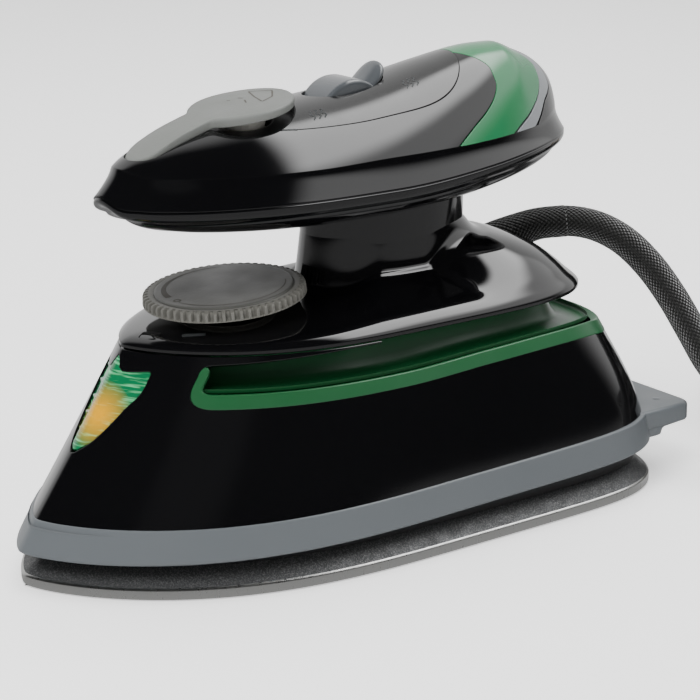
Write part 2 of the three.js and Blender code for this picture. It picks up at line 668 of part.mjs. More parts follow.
addNode('needle_rod', join(
  post(0, NEEDLE_Y, 81.8, 91, 1.2, 1.2, 12),
  post(0, NEEDLE_Y, 79.2, 82, 0.4, 1.2, 12),
  post(0, NEEDLE_Y, 84.5, 85.3, 2.8, 2.8, 12),
), steel);
const SPRING = { bottom: 86, top: 88.1, radius: 2.2, wire: 0.3, turns: 3 };
const springLine = Array.from({ length: SPRING.turns * 10 + 1 }, (_, i) => {
  const angle = (2 * Math.PI * i) / 10;
  const z = THREE.MathUtils.lerp(SPRING.bottom, SPRING.top, i / (SPRING.turns * 10));
  return [SPRING.radius * Math.cos(angle), NEEDLE_Y + SPRING.radius * Math.sin(angle), z];
});
addNode('needle_spring', tube(springLine, SPRING.wire, 30, 5), steel);
addNode('valve_seat', cut(
  join(post(0, NEEDLE_Y, 76, 79.3, 4.2), post(0, NEEDLE_Y, 79, 81.4, 2.6)),
  post(0, NEEDLE_Y, 70, 78, 1.8, 1.8, 12),
  post(0, NEEDLE_Y, 77, 85, 1.6, 1.6, 12),
), silicone);
addNode('drip_tube', cut(
  post(0, NEEDLE_Y, 11, 75.7, 2.8, 2.8, 14),
  post(0, NEEDLE_Y, 10, 77, 1.6, 1.6, 10),
), silicone);

// ---- mains lead ----
const leadRoute = [
  [0.9, 74, 61.8], [5, 78.8, 60.8], [10.6, 83.6, 57.4], [16.6, 87.5, 51.4], [22.8, 90, 44],
  [29.2, 91.3, 36.1], [35.6, 92.2, 28.6], [42.2, 94.2, 22.6], [48.8, 98.2, 17.8], [54.9, 103.8, 13.4],
  [60.4, 110.8, 9.6], [65, 119.2, 6.8], [68.4, 127, 5.6], [70.6, 133.5, 4.9],
];

addNode('cord_gland', sleeve(exitRoute, 5.2, 4.4), satinBlack);
addNode('cord_lead', tube(leadRoute, CORD_RADIUS, 30, 10), textile);

const coilProfile = [
  [COIL.inner, 2], [COIL.inner + 2, 0], [COIL.outer - 2, 0], [COIL.outer, 2],
  [COIL.outer, COIL.height - 3], [COIL.outer - 3, COIL.height], [COIL.inner + 3, COIL.height],
  [COIL.inner, COIL.height - 3], [COIL.inner, 2],
].map(([x, y]) => new THREE.Vector2(x, y));
const coil = new THREE.LatheGeometry(coilProfile, 40);
coil.rotateX(Math.PI / 2);
addNode('cord_coil', toSolid(coil), textile).position.set(COIL.x, COIL.y, 0);

// The tie is a strap over the coil's bundle of turns, down to the surface on both sides.
const tieAngle = THREE.MathUtils.degToRad(-115);
const tieGroup = new THREE.Group();
tieGroup.position.set(COIL.x, COIL.y, 0);
tieGroup.rotation.z = tieAngle;
iron.add(tieGroup);
addNode('coil_tie', cut(
  box([COIL.inner - 1.6, -5, 0.2], [COIL.outer + 1.6, 5, COIL.height + 1.4]),
  box([COIL.inner - 0.5, -6, -1], [COIL.outer + 0.5, 6, COIL.height + GAP]),
), satinBlack, tieGroup);

// A point on the coil, by its distance from the coil's middle, its angle in degrees and its height.
function onCoil(radius, degrees, z) {
  const angle = THREE.MathUtils.degToRad(degrees);
  return [COIL.x + radius * Math.cos(angle), COIL.y + radius * Math.sin(angle), z];
}

// The plug lies on the coil with its pins upwards and its cable end, its own +Y, back along the turns.
const plugRing = (COIL.inner + COIL.outer) / 2;
const plugAxis = COIL.height + GAP + PLUG.height / 2;
const plugEntry = THREE.MathUtils.degToRad(PLUG.entry);
const plugGroup = new THREE.Group();
plugGroup.position.set(...onCoil(plugRing, PLUG.entry, COIL.height + GAP));
plugGroup.position.x -= (PLUG.length / 2) * Math.sin(plugEntry);
plugGroup.position.y += (PLUG.length / 2) * Math.cos(plugEntry);
plugGroup.rotation.z = plugEntry + Math.PI;
iron.add(plugGroup);
const reliefLine = [98, 106, 114, 122, 129.3].map((degrees) => onCoil(plugRing, degrees, plugAxis));
const tailLine = [
  onCoil(42.6, 42, 36.4), onCoil(41.8, 56, 38.2), onCoil(41, 70, 39.8), onCoil(40.3, 84, 40.9),
  onCoil(plugRing, 96.4, plugAxis),
];
addNode('plug_relief', sleeve(reliefLine, 4.3, 6.2, 6), satinBlack);
addNode('cord_tail', tube(tailLine, CORD_RADIUS, 8, 10), textile);

function makePlugBody() {
  const half = PLUG.width / 2;
  const shape = new THREE.Shape();
  shape.moveTo(-half + 9, PLUG.length / 2);
  shape.lineTo(half - 9, PLUG.length / 2);
  shape.quadraticCurveTo(half, PLUG.length / 2 - 4, half, 0);
  shape.lineTo(half, -PLUG.length / 2 + 5);
  shape.quadraticCurveTo(half, -PLUG.length / 2, half - 5, -PLUG.length / 2);
  shape.lineTo(-half + 5, -PLUG.length / 2);
  shape.quadraticCurveTo(-half, -PLUG.length / 2, -half, -PLUG.length / 2 + 5);
  shape.lineTo(-half, 0);
  shape.quadraticCurveTo(-half, PLUG.length / 2 - 4, -half + 9, PLUG.length / 2);
  return planProfile(shape, 0, PLUG.height, 5);
}

addNode('plug_body', makePlugBody(), satinBlack, plugGroup);
const plugPins = {
  plug_pin_earth: [0, -8, 4, 8, 22.7],
  plug_pin_live: [-11.1, 14.2, 6.3, 4, 17.7],
  plug_pin_neutral: [11.1, 14.2, 6.3, 4, 17.7],
};
for (const [name, [x, y, wide, deep, long]] of Object.entries(plugPins)) {
  const low = [x - wide / 2, y - deep / 2, PLUG.height + GAP];
  const high = [x + wide / 2, y + deep / 2, PLUG.height + long];
  addNode(name, box(low, high), brass, plugGroup);
}

export default iron;
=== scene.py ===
"""Looks of the compact steam iron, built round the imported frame. Shapes are worked out in millimetres."""
import math

import bpy
import numpy as np
from mathutils import Matrix, Vector


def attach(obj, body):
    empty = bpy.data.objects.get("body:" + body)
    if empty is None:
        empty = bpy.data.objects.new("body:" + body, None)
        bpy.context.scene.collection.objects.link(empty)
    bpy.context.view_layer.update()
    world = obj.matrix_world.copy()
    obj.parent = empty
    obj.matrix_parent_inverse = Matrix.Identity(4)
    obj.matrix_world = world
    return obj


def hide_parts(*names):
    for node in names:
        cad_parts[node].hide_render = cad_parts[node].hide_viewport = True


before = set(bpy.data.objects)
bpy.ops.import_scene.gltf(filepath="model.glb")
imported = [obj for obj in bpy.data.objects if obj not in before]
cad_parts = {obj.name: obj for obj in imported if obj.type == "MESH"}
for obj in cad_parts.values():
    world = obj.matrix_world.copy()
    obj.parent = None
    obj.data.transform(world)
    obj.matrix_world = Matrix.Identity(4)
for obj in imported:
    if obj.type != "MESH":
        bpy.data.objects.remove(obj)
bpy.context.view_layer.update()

MM = 0.001
UP = np.array([0.0, 0.0, 1.0])

# ---- driving dimensions, in millimetres, as in the CAD ----
CORD_RADIUS, YARNS, BRAID_PITCH = 4.0, 24, 1.3
CORD_STEP = 2.0
COIL_X, COIL_Y = 30.0, 168.0
TOP_TURN, TOP_HEIGHT = 40, 41.3
STRAP_ANGLE, PLUG_ANGLE = -115, 130
SKIRT_RISE = 0.02
SOLE_NOSE, SOLE_REAR, SOLE_WIDTH = -87.0, 82.0, 41.6
HEEL_REAR, HEEL_HALF = 88.4, 34.0
BODY_TOP = 50.7
GROOVE_Y, GROOVE_Z = -53.3, 42.3
COLUMN_Y = 12
DIAL_CENTRE, DIAL_TILT, DIAL_TEETH = (0, -32.1, 57.8), math.radians(5), 60
LEVER_Y, LEVER_Z, PADDLE_ANGLE, LEVER_LIMIT = 1.3, 97.1, 0.85, math.radians(50)
PANEL_Y, RECESS_Y = -6.5, 1.5
LAMP_AT = (0.002, -0.0675, 0.0372)  # in metres
CAP_Y, CAP_RADIUS = -27.1, 12.3


def add_object(name, data):
    made = bpy.data.objects.new(name, data)
    bpy.context.collection.objects.link(made)
    return made


# ---- camera, at the photograph's viewing angle ----
def make_camera():
    right = Vector((0.5878, 0.8090, 0.0))
    up = Vector((-0.2366, 0.1719, 0.9563))
    back = right.cross(up)
    data = bpy.data.cameras.new("camera")
    data.lens = 105.43
    data.sensor_width = 36
    camera = add_object("camera", data)
    turn = Matrix((right, up, back)).transposed().to_4x4()
    camera.matrix_world = Matrix.Translation(Vector((0.3880, -0.2782, 0.1858))) @ turn
    bpy.context.scene.camera = camera


make_camera()


# ---- materials ----
class Nodes:
    """Builds a node tree. Each input is a socket to link, or a plain value."""

    def __init__(self, tree):
        self.tree = tree

    def put(self, socket, value):
        if isinstance(value, bpy.types.NodeSocket):
            self.tree.links.new(value, socket)
        else:
            socket.default_value = value

    def add(self, kind, *in_order, **named):
        node = self.tree.nodes.new(kind)
        for socket, value in zip(node.inputs, in_order):
            self.put(socket, value)
        for name, value in named.items():
            self.put(node.inputs[name], value)
        return node

    def maths(self, operation, first, second=0.0):
        node = self.add("ShaderNodeMath", first, second)
        node.operation = operation
        return node.outputs[0]

    def spread(self, value, low, high, start=0.3, end=0.7, kind="LINEAR"):
        """A value taken from one range to another, and kept inside it."""
        node = self.add("ShaderNodeMapRange", value, start, end, low, high)
        node.interpolation_type = kind
        return node.outputs["Result"]


class Material(Nodes):
    """A material whose shader's constants sit on its own sockets."""

    def __init__(self, name, **sockets):
        self.material = bpy.data.materials.new(name)
        self.material.use_nodes = True
        super().__init__(self.material.node_tree)
        self.shader = self.tree.nodes["Principled BSDF"]
        for socket, value in sockets.items():
            self.shader.inputs[socket.replace("_", " ")].default_value = value

    def link(self, value, socket):
        self.tree.links.new(value, self.shader.inputs[socket])

    def place(self, kind="Object"):
        return self.add("ShaderNodeTexCoord").outputs[kind]

    def noise(self, scale, detail=4.0, stretch=(1, 1, 1), roughness=0.5):
        """Noise over the object's own coordinates in metres, which may be stretched."""
        vector = self.add("ShaderNodeMapping", Vector=self.place(), Scale=stretch).outputs["Vector"]
        inputs = dict(Vector=vector, Scale=scale, Detail=detail, Roughness=roughness)
        return self.add("ShaderNodeTexNoise", **inputs).outputs["Fac"]

    def blend(self, share, first, second):
        node = self.tree.nodes.new("ShaderNodeMix")
        node.data_type = "RGBA"
        for index, value in ((0, share), (6, first), (7, second)):
            self.put(node.inputs[index], (*value, 1) if isinstance(value, tuple) else value)
        return node.outputs[2]

    def bump(self, height, strength, distance):
        node = self.add("ShaderNodeBump", Strength=strength, Distance=distance, Height=height)
        self.link(node.outputs["Normal"], "Normal")


def linear(red, green, blue):
    """A colour given in 0 to 255 display values, as the shader wants it."""
    shares = (red / 255, green / 255, blue / 255)
    return tuple(((v + 0.055) / 1.055) ** 2.4 if v > 0.04 else v / 12.92 for v in shares)


def plastic(name, colour, rough, grain=0.0, grain_size=900.0, coat=0.0, shade=0.12):
    """Moulded plastic: slight colour drift, uneven gloss and a fine moulded grain."""
    made = Material(name, Specular_IOR_Level=0.5, Coat_Weight=coat, Coat_Roughness=0.05)
    base = linear(*colour)
    dark = tuple(part * (1 - shade) for part in base)
    light = tuple(min(1.0, part * (1 + shade)) for part in base)
    made.link(made.blend(made.noise(35.0, 3.0), dark, light), "Base Color")
    made.link(made.spread(made.noise(60.0, 5.0), rough * 0.8, rough * 1.25), "Roughness")
    if grain:
        made.bump(made.noise(grain_size, 2.0), grain, 0.0002)
    return made.material


def gloss_black(name, colour=(5, 5, 6), rough=0.07):
    """Polished black plastic, with a faint waviness and a few dull smudges."""
    made = Material(name, Specular_IOR_Level=0.5, Coat_Weight=0.35, Coat_Roughness=0.03)
    base = linear(*colour)
    made.link(made.blend(made.noise(20.0, 2.0), base, tuple(part * 1.6 for part in base)), "Base Color")
    smudge = made.spread(made.noise(26.0, 6.0, roughness=0.65), rough * 0.7, rough * 1.9, 0.35, 0.75)
    made.link(smudge, "Roughness")
    made.bump(made.noise(45.0, 1.0), 0.06, 0.0008)
    return made.material


def metal(name, colour, rough, brushed=(1, 1, 1), scale=400.0, strength=0.12):
    """Metal with brush marks, or an even grain where the stretch is even."""
    made = Material(name, Metallic=1.0)
    base = linear(*colour)
    marks = made.noise(scale, 6.0, brushed, 0.7)
    made.link(made.blend(marks, tuple(part * 0.8 for part in base), base), "Base Color")
    made.link(made.spread(marks, rough * 0.75, rough * 1.4), "Roughness")
    made.bump(marks, strength, 0.0002)
    return made.material


def cast_bevel():
    """The sole's dark cast flank, with bright grains in its coating."""
    made = Material("sole_flank", Metallic=0.55)
    grains = made.spread(made.noise(2600.0, 2.0, roughness=0.8), 0.0, 1.0, 0.45, 0.75)
    made.link(made.blend(grains, linear(64, 65, 66), linear(118, 118, 118)), "Base Color")
    made.link(made.spread(made.noise(300.0), 0.35, 0.6), "Roughness")
    made.bump(made.noise(1300.0, 3.0), 0.35, 0.0003)
    return made.material


def braid():
    """Braided textile: two crossing sets of yarns with a soft sheen, along the cord's own length. Its colour
    is lighter on the yarn tops and darker in the gaps, painted sheen and shade mixed with a random fibre
    tone.
    """
    made = Material("braid", Sheen_Weight=0.35, Sheen_Roughness=0.4, Specular_IOR_Level=0.25)
    split = made.add("ShaderNodeSeparateXYZ", made.place("UV"))
    along, around = split.outputs["X"], split.outputs["Y"]
    turns = made.maths("MULTIPLY", around, YARNS)
    slants = [made.maths("MULTIPLY", made.maths(way, turns, along), math.pi) for way in ("ADD", "SUBTRACT")]
    one, other = (made.maths("ABSOLUTE", made.maths("SINE", slant)) for slant in slants)
    yarns = made.maths("MAXIMUM", made.maths("POWER", one, 0.6), made.maths("POWER", other, 0.6))
    over = made.maths("MULTIPLY", one, other)
    height = made.maths("ADD", made.maths("MULTIPLY", yarns, 0.4), over)
    fibre = made.noise(2600.0, 3.0, roughness=0.7)
    # Painted shade and sheen: dark in the gaps between yarns and lighter on the crossing tops, times a random
    # fibre tone.
    shade = made.maths("MULTIPLY", made.maths("ADD", made.maths("MULTIPLY", over, 0.8), 0.2), fibre)
    made.link(made.blend(shade, linear(8, 8, 8), linear(50, 50, 48)), "Base Color")
    made.link(made.spread(fibre, 0.55, 0.85), "Roughness")
    made.bump(made.maths("ADD", height, made.maths("MULTIPLY", fibre, 0.3)), 0.9, 0.0005)
    return made.material


def lit_lens():
    """Green tinted window with lighter streaks painted in as light caught along its ribs, and the amber light
    behind its middle painted on as a glow; the whole window also glows faintly.
    """
    made = Material("lens", Specular_IOR_Level=0.6, Coat_Weight=0.2, Coat_Roughness=0.04)
    offset = made.add("ShaderNodeVectorMath", made.place(), LAMP_AT)
    offset.operation = "SUBTRACT"
    away = made.add("ShaderNodeVectorMath", offset.outputs[0])
    away.operation = "LENGTH"
    glow = made.spread(away.outputs["Value"], 1.0, 0.0, 0.001, 0.0082)
    # Painted highlight: lighter green streaks for light caught along the ribs; the same mask also roughens
    # and ripples the surface.
    painted_streak = made.spread(made.noise(620.0, 2.0, (0.25, 0.25, 3.2)), 0.0, 1.0, 0.5, 0.78)
    green = made.blend(painted_streak, linear(16, 96, 58), linear(96, 205, 140))
    colour = made.blend(glow, green, linear(204, 146, 0))
    made.link(colour, "Base Color")
    # Painted light: the window's colour is made to glow, most strongly as the amber glow of the lamp behind.
    made.link(colour, "Emission Color")
    made.shader.inputs["Emission Strength"].default_value = 0.12
    made.link(made.spread(painted_streak, 0.12, 0.3, 0, 1), "Roughness")
    made.bump(painted_streak, 0.04, 0.0003)
    return made.material


def band_paint():
    """The bright green band: its colour drifts patchily low down and is even towards its top."""
    made = Material("band_green", Specular_IOR_Level=0.5, Coat_Weight=0.5, Coat_Roughness=0.04)
    height = made.add("ShaderNodeSeparateXYZ", made.place())
    share = made.spread(height.outputs["Z"], 0.0, 1.0, 0.092, 0.108)
    drift = made.blend(made.noise(30.0), linear(30, 100, 62), linear(40, 114, 72))
    made.link(made.blend(share, drift, linear(34, 108, 66)), "Base Color")
    made.link(made.spread(made.noise(60.0, 5.0), 0.12, 0.22), "Roughness")
    return made.material


def clear_plastic():
    made = Material("clear_plastic", Transmission_Weight=0.8, IOR=1.49, Alpha=0.6)
    made.link(made.blend(made.noise(30.0), linear(190, 208, 214), linear(214, 226, 230)), "Base Color")
    made.link(made.spread(made.noise(90.0), 0.08, 0.2), "Roughness")
    return made.material


GLOSS = gloss_black("gloss_black")
SATIN = plastic("satin_black", (22, 22, 23), 0.42, 0.15)
PANEL = gloss_black("panel_black", (12, 12, 12), 0.16)
SKIRT = plastic("skirt_grey", (84, 88, 91), 0.36, 0.08, shade=0.04)
DIAL = plastic("dial_grey", (92, 91, 86), 0.5, 0.25, 1600.0, shade=0.06)
DIAL_TOP = plastic("dial_top", (74, 74, 71), 0.45, 0.2, 1800.0, shade=0.05)
CAP = plastic("cap_grey", (99, 101, 98), 0.48, 0.2, 1400.0, shade=0.04)
MARK = plastic("mark", (62, 58, 52), 0.6)
# Painted shade: a near-black matte sheet laid where a small recess would be dark inside.
RECESS_SHADE = plastic("recess_shade_black", (4, 4, 4), 0.7)
LEVER = plastic("lever_grey", (68, 71, 74), 0.2, 0.08, coat=0.5, shade=0.05)
CHANNEL = plastic("channel_green", (22, 77, 43), 0.36, 0.06, shade=0.08)
BAND = band_paint()
STRIPE = plastic("stripe_grey", (120, 123, 126), 0.2, shade=0.05)
LENS = lit_lens()
RIM = metal("sole_rim", (196, 196, 194), 0.3, (1, 1, 0.2), 700.0)
FACE = metal("sole_face", (190, 190, 188), 0.22, (1, 0.03, 1), 900.0)
FLANK = cast_bevel()
STEEL = metal("steel", (190, 194, 198), 0.3, (1, 1, 4), 500.0)
CAST = metal("cast_metal", (140, 141, 142), 0.55, scale=260.0, strength=0.3)
BRASS = metal("brass", (190, 158, 88), 0.3, (1, 1, 3), 500.0)
CLEAR = clear_plastic()
SILICONE = plastic("silicone", (214, 211, 203), 0.55)
CERAMIC = plastic("ceramic", (226, 221, 208), 0.65, 0.3)
RUBBER = plastic("cord_black", (20, 20, 20), 0.48, 0.2)
BROWN = plastic("wire_brown", (122, 74, 42), 0.45)
BLUE = plastic("wire_blue", (47, 95, 154), 0.45)
YELLOW = plastic("wire_green", (138, 163, 58), 0.45)
BRAID = braid()
# Painted glint: a grey for light caught on raised marks and on the bar under the dial.
GLINT = plastic("painted_glint_grey", (40, 42, 43), 0.6)


# ---- surfaces: corners, normals and faces ----
class Skin:
    def __init__(self, points, faces, normals=None):
        self.points = np.asarray(points, float)
        self.faces = [tuple(face) for face in faces]
        self.normals = self.fresh_normals() if normals is None else np.asarray(normals, float)

    def fresh_normals(self):
        normals = np.zeros_like(self.points)
        for face in self.faces:
            corners = self.points[list(face)]
            area = np.zeros(3)
            for first, second in zip(corners[1:-1], corners[2:]):
                area += np.cross(first - corners[0], second - corners[0])
            normals[list(face)] += area
        return unit(normals)


def xyz(x, y, z):
    """Points from their coordinates, any of which may be one number for all."""
    return np.stack(np.broadcast_arrays(x, y, z), -1).astype(float)


def raised(plan, z):
    """Plan points, taken up to a height."""
    return xyz(plan[:, 0], plan[:, 1], z)


def round_turn(count):
    return np.linspace(0, 2 * np.pi, count, endpoint=False)


def circle(radius, z, count, centre=(0, 0)):
    turn = round_turn(count)
    return xyz(centre[0] + radius * np.cos(turn), centre[1] + radius * np.sin(turn), z)


def squared(turn, power):
    """Cosine and sine, pushed towards a square as the power falls."""
    return [np.sign(part) * np.abs(part) ** power for part in (np.cos(turn), np.sin(turn))]


def distances(points):
    """The distance along a line of points, up to each one."""
    return np.concatenate([[0], np.cumsum(np.linalg.norm(np.diff(points, axis=0), axis=1))])


def reach(inside, count, limit, steps):
    """How far each of some rays runs before it leaves a region, by halving."""
    low, high = np.zeros(count), np.full(count, float(limit))
    for _ in range(steps):
        half = (low + high) / 2
        within = inside(half)
        low, high = np.where(within, half, low), np.where(within, high, half)
    return low


def unit(vectors):
    length = np.linalg.norm(vectors, axis=-1, keepdims=True)
    return vectors / np.maximum(length, 1e-12)


def grid(rows, closed=True, cap_first=False, cap_last=False):
    """A skin through rows of points. Rows run anticlockwise from outside, and follow each other upwards."""
    rows = np.asarray(rows, float)
    levels, count = rows.shape[:2]
    faces = []
    for low in range(0, (levels - 1) * count, count):
        high = low + count
        for i in range(count if closed else count - 1):
            j = (i + 1) % count
            faces.append((low + i, low + j, high + j, high + i))
    points = rows.reshape(-1, 3)
    if cap_first:
        points = np.vstack([points, rows[0].mean(axis=0)])
        faces += [(len(points) - 1, (i + 1) % count, i) for i in range(count)]
    if cap_last:
        points = np.vstack([points, rows[-1].mean(axis=0)])
        last = (levels - 1) * count
        faces += [(len(points) - 1, last + i, last + (i + 1) % count) for i in range(count)]
    return Skin(points, faces)


def clip(skin, values):
    """The part of a skin where the value at its corners is below zero."""
    values = np.where(np.abs(values) < 1e-6, -1e-6, values)
    points, normals, made, faces = list(skin.points), list(skin.normals), {}, []

    def crossing(a, b):
        key = (min(a, b), max(a, b))
        if key not in made:
            share = values[a] / (values[a] - values[b])
            points.append(points[a] + share * (points[b] - points[a]))
            normals.append(unit(normals[a] + share * (normals[b] - normals[a])))
            made[key] = len(points) - 1
        return made[key]

    for face in skin.faces:
        ring = []
        for a, b in zip(face, face[1:] + face[:1]):
            if values[a] < 0:
                ring.append(a)
            if (values[a] < 0) != (values[b] < 0):
                ring.append(crossing(a, b))
        if len(ring) > 2:
            faces.append(ring)
    used = sorted({corner for face in faces for corner in face})
    renumber = {old: new for new, old in enumerate(used)}
    faces = [tuple(renumber[corner] for corner in face) for face in faces]
    return Skin(np.array(points)[used], faces, np.array(normals)[used])


def rim(skin, radius, depth, steps=3):
    """The skin with its open edges rounded over and turned inwards."""
    half_edges = {(a, b) for face in skin.faces for a, b in zip(face, face[1:] + face[:1])}
    border = [(a, b) for a, b in half_edges if (b, a) not in half_edges]
    outwards = np.zeros_like(skin.points)
    for a, b in border:
        ahead = skin.points[b] - skin.points[a]
        outwards[a] += np.cross(ahead, skin.normals[a])
        outwards[b] += np.cross(ahead, skin.normals[b])
    outwards = unit(outwards)
    corners = sorted({a for edge in border for a in edge})
    points, normals, faces = [skin.points], [skin.normals], list(skin.faces)
    base, out, up = skin.points[corners], outwards[corners], skin.normals[corners]
    layers = [(math.sin(t), 1 - math.cos(t)) for t in np.linspace(0, math.pi / 2, steps + 1)[1:]]
    shift = len(skin.points)
    before = {corner: corner for corner in corners}
    for spread, sink in layers + [(1.0, depth / radius)]:
        points.append(base + radius * (spread * out - sink * up))
        normals.append(unit(spread * out + (1 - min(sink, 1.0)) * up))
        after = {corner: shift + i for i, corner in enumerate(corners)}
        faces += [(before[b], before[a], after[a], after[b]) for a, b in border]
        before = after
        shift += len(corners)
    return Skin(np.vstack(points), faces, np.vstack(normals))


def joined(*skins):
    points, normals, faces, shift = [], [], [], 0
    for skin in skins:
        points.append(skin.points)
        normals.append(skin.normals)
        faces += [tuple(corner + shift for corner in face) for face in skin.faces]
        shift += len(skin.points)
    return Skin(np.vstack(points), faces, np.vstack(normals))


def piece(name, skin, material, body="iron", replaces=()):
    """A Blender object made from a skin, riding on a body."""
    mesh = bpy.data.meshes.new(name)
    mesh.from_pydata((skin.points * MM).tolist(), [], skin.faces)
    mesh.shade_smooth()
    mesh.materials.append(material)
    mesh.validate()
    if len(mesh.vertices) == len(skin.normals):
        mesh.normals_split_custom_set_from_vertices(skin.normals.tolist())
    made = add_object(name, mesh)
    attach(made, body)
    if replaces:
        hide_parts(*replaces)
    return made


def curve_through(x, places, values):
    """A smooth curve through given values, without overshoot."""
    places, values = np.asarray(places, float), np.asarray(values, float)
    steps = np.diff(values) / np.diff(places)
    slopes = np.concatenate([[steps[0]], (steps[1:] + steps[:-1]) / 2, [steps[-1]]])
    slopes[1:-1][steps[1:] * steps[:-1] <= 0] = 0
    x = np.clip(x, places[0], places[-1])
    i = np.clip(np.searchsorted(places, x) - 1, 0, len(places) - 2)
    width = places[i + 1] - places[i]
    t = (x - places[i]) / width
    return (
        values[i] * (1 + 2 * t) * (1 - t) ** 2 + values[i + 1] * t**2 * (3 - 2 * t)
        + slopes[i] * width * t * (1 - t) ** 2 - slopes[i + 1] * width * t**2 * (1 - t)
    )


def along_route(points, at):
    """Places on the smooth line through some points, by distance along it."""
    run = distances(points)
    return np.stack([curve_through(at, run, points[:, k]) for k in range(3)], 1)


def smooth_step(x, low, high):
    t = np.clip((x - low) / (high - low), 0, 1)
    return t * t * (3 - 2 * t)


def smooth_min(a, b, reach):
    blend = np.maximum(reach - np.abs(a - b), 0) / reach
    return np.minimum(a, b) - blend**2 * reach / 4


# ---- plan outlines: two superellipse ends about a middle ----
class Plan:
    def __init__(self, middle, nose, rear, width=40, length=85, count=320):
        self.middle, self.nose, self.rear = middle, nose, rear
        angle = np.linspace(0, 2 * np.pi, 7201)
        x, y = self.on_unit(angle)
        run = distances(np.column_stack([x * width, y * length]))
        even = np.interp(np.arange(count) / count * run[-1], run, angle)
        self.x, self.y = self.on_unit(even)

    def powers(self, y):
        along = np.where(y < 0, self.nose[0], self.rear[0])
        across = np.where(y < 0, self.nose[1], self.rear[1])
        return along, across

    def on_unit(self, angle):
        x, y = np.cos(angle), np.sin(angle)
        along, across = self.powers(y)
        r = reach(lambda half: np.abs(half * x) ** across + np.abs(half * y) ** along < 1, len(x), 2, 40)
        return r * x, r * y

    def ring(self, nose, rear, width, z=0.0, inset=0.0, slant=1.4):
        ahead = self.middle - nose - slant * inset
        behind = rear - inset - self.middle
        y = self.middle + np.where(self.y < 0, ahead, behind) * self.y
        return xyz((width - inset) * self.x, y, z)

    def half_width(self, y, nose, rear, width):
        """Half the outline's width at a place along it."""
        ahead = y < self.middle
        run = np.where(ahead, self.middle - nose, rear - self.middle)
        along, across = self.powers(np.where(ahead, -1, 1))
        share = np.clip(np.abs(y - self.middle) / run, 0, 1)
        return width * (1 - share**along) ** (1 / across)


BODY_PLAN = Plan(4, (2.9, 1.35), (7, 3))
DECK_PLAN = Plan(4, (2.9, 1.35), (4.5, 2.6))
COLUMN_PLAN = Plan(COLUMN_Y, (2.2, 2.2), (2.4, 2.2), 12, 22)
HANDLE_PLAN = Plan(2, (2.6, 1.9), (2, 2), 22, 66, 360)
PANEL_PLAN = Plan(0, (1.85, 1.9), (4.2, 2), 15, 38)

# The body's nose, rear and half width by height, as smooth curves.
HEIGHTS = (15.5, 24, 32, 41, BODY_TOP)
NOSE_CURVE = np.polyfit(HEIGHTS, (-83.2, -77.2, -72, -66.2, -60.1), 2)
REAR_CURVE = np.polyfit(HEIGHTS, (81, 78, 75, 71.2, 66.2), 2)
WIDTH_CURVE = np.polyfit(HEIGHTS, (39.9, 38, 36, 33.3, 29.8), 2)


def body_sizes(z):
    """The body's nose, rear and half width at a height."""
    return [np.polyval(line, z) for line in (NOSE_CURVE, REAR_CURVE, WIDTH_CURVE)]


def body_ring(z, inset=0.0):
    """The body's outline at a height. Its rear corners grow rounder towards the top."""
    low, high = (plan.ring(*body_sizes(z), z, inset) for plan in (BODY_PLAN, DECK_PLAN))
    return low + (high - low) * smooth_step(z, 22, BODY_TOP)


def skirt_lift(y):
    return SKIRT_RISE * (y - SOLE_NOSE)


def sole_ring(z, inset=0.0):
    return BODY_PLAN.ring(SOLE_NOSE, SOLE_REAR, SOLE_WIDTH, z, inset=inset)


# ---- soleplate ----
def make_sole():
    profile = ((0, 0.6), (0.12, 0.25), (0.4, 0.05), (0.8, 0), (2.2, 0), (2.6, 0.12), (2.8, 0.45))
    edge = [sole_ring(z, inset) for z, inset in profile]
    profile = ((2.8, 0.45), (3.2, 0.9), (4.6, 2.5), (6.4, 4.6), (6.5, 6), (12, 6.4))
    flank = [sole_ring(z, inset) for z, inset in profile]
    places = ((0, -56), (10, -45), (15, -31), (18, -14), (19, 4), (19, 22), (18, 40))
    holes = [(side * x, y) for x, y in places for side in (-1, 1) if x or side > 0]
    piece("soleplate_face", fine_face(holes), FACE, replaces=["soleplate"])
    piece("soleplate_rim", grid(edge), RIM)
    piece("soleplate_flank", grid(flank), FLANK)


def fine_face(holes):
    """The flat ironing face with its steam holes, each with a rounded mouth and a short bore."""
    flat = grid([xyz(np.arange(-42, 43), y, 0) for y in np.arange(-88, 84)], closed=False)
    flat = Skin(flat.points, [(a, d, c, b) for a, b, c, d in flat.faces])
    half = BODY_PLAN.half_width(flat.points[:, 1], SOLE_NOSE + 0.84, SOLE_REAR - 0.6, SOLE_WIDTH - 0.6)
    flat = clip(flat, np.abs(flat.points[:, 0]) - half)
    for x, y in holes:
        flat = clip(flat, 2.2 - np.hypot(flat.points[:, 0] - x, flat.points[:, 1] - y))
    bore = ((1.6, 5.5), (1.6, 0.7), (1.7, 0.3), (1.95, 0.08), (2.35, 0.0))
    return joined(flat, *[grid([circle(r, z, 28, hole) for r, z in bore]) for hole in holes])


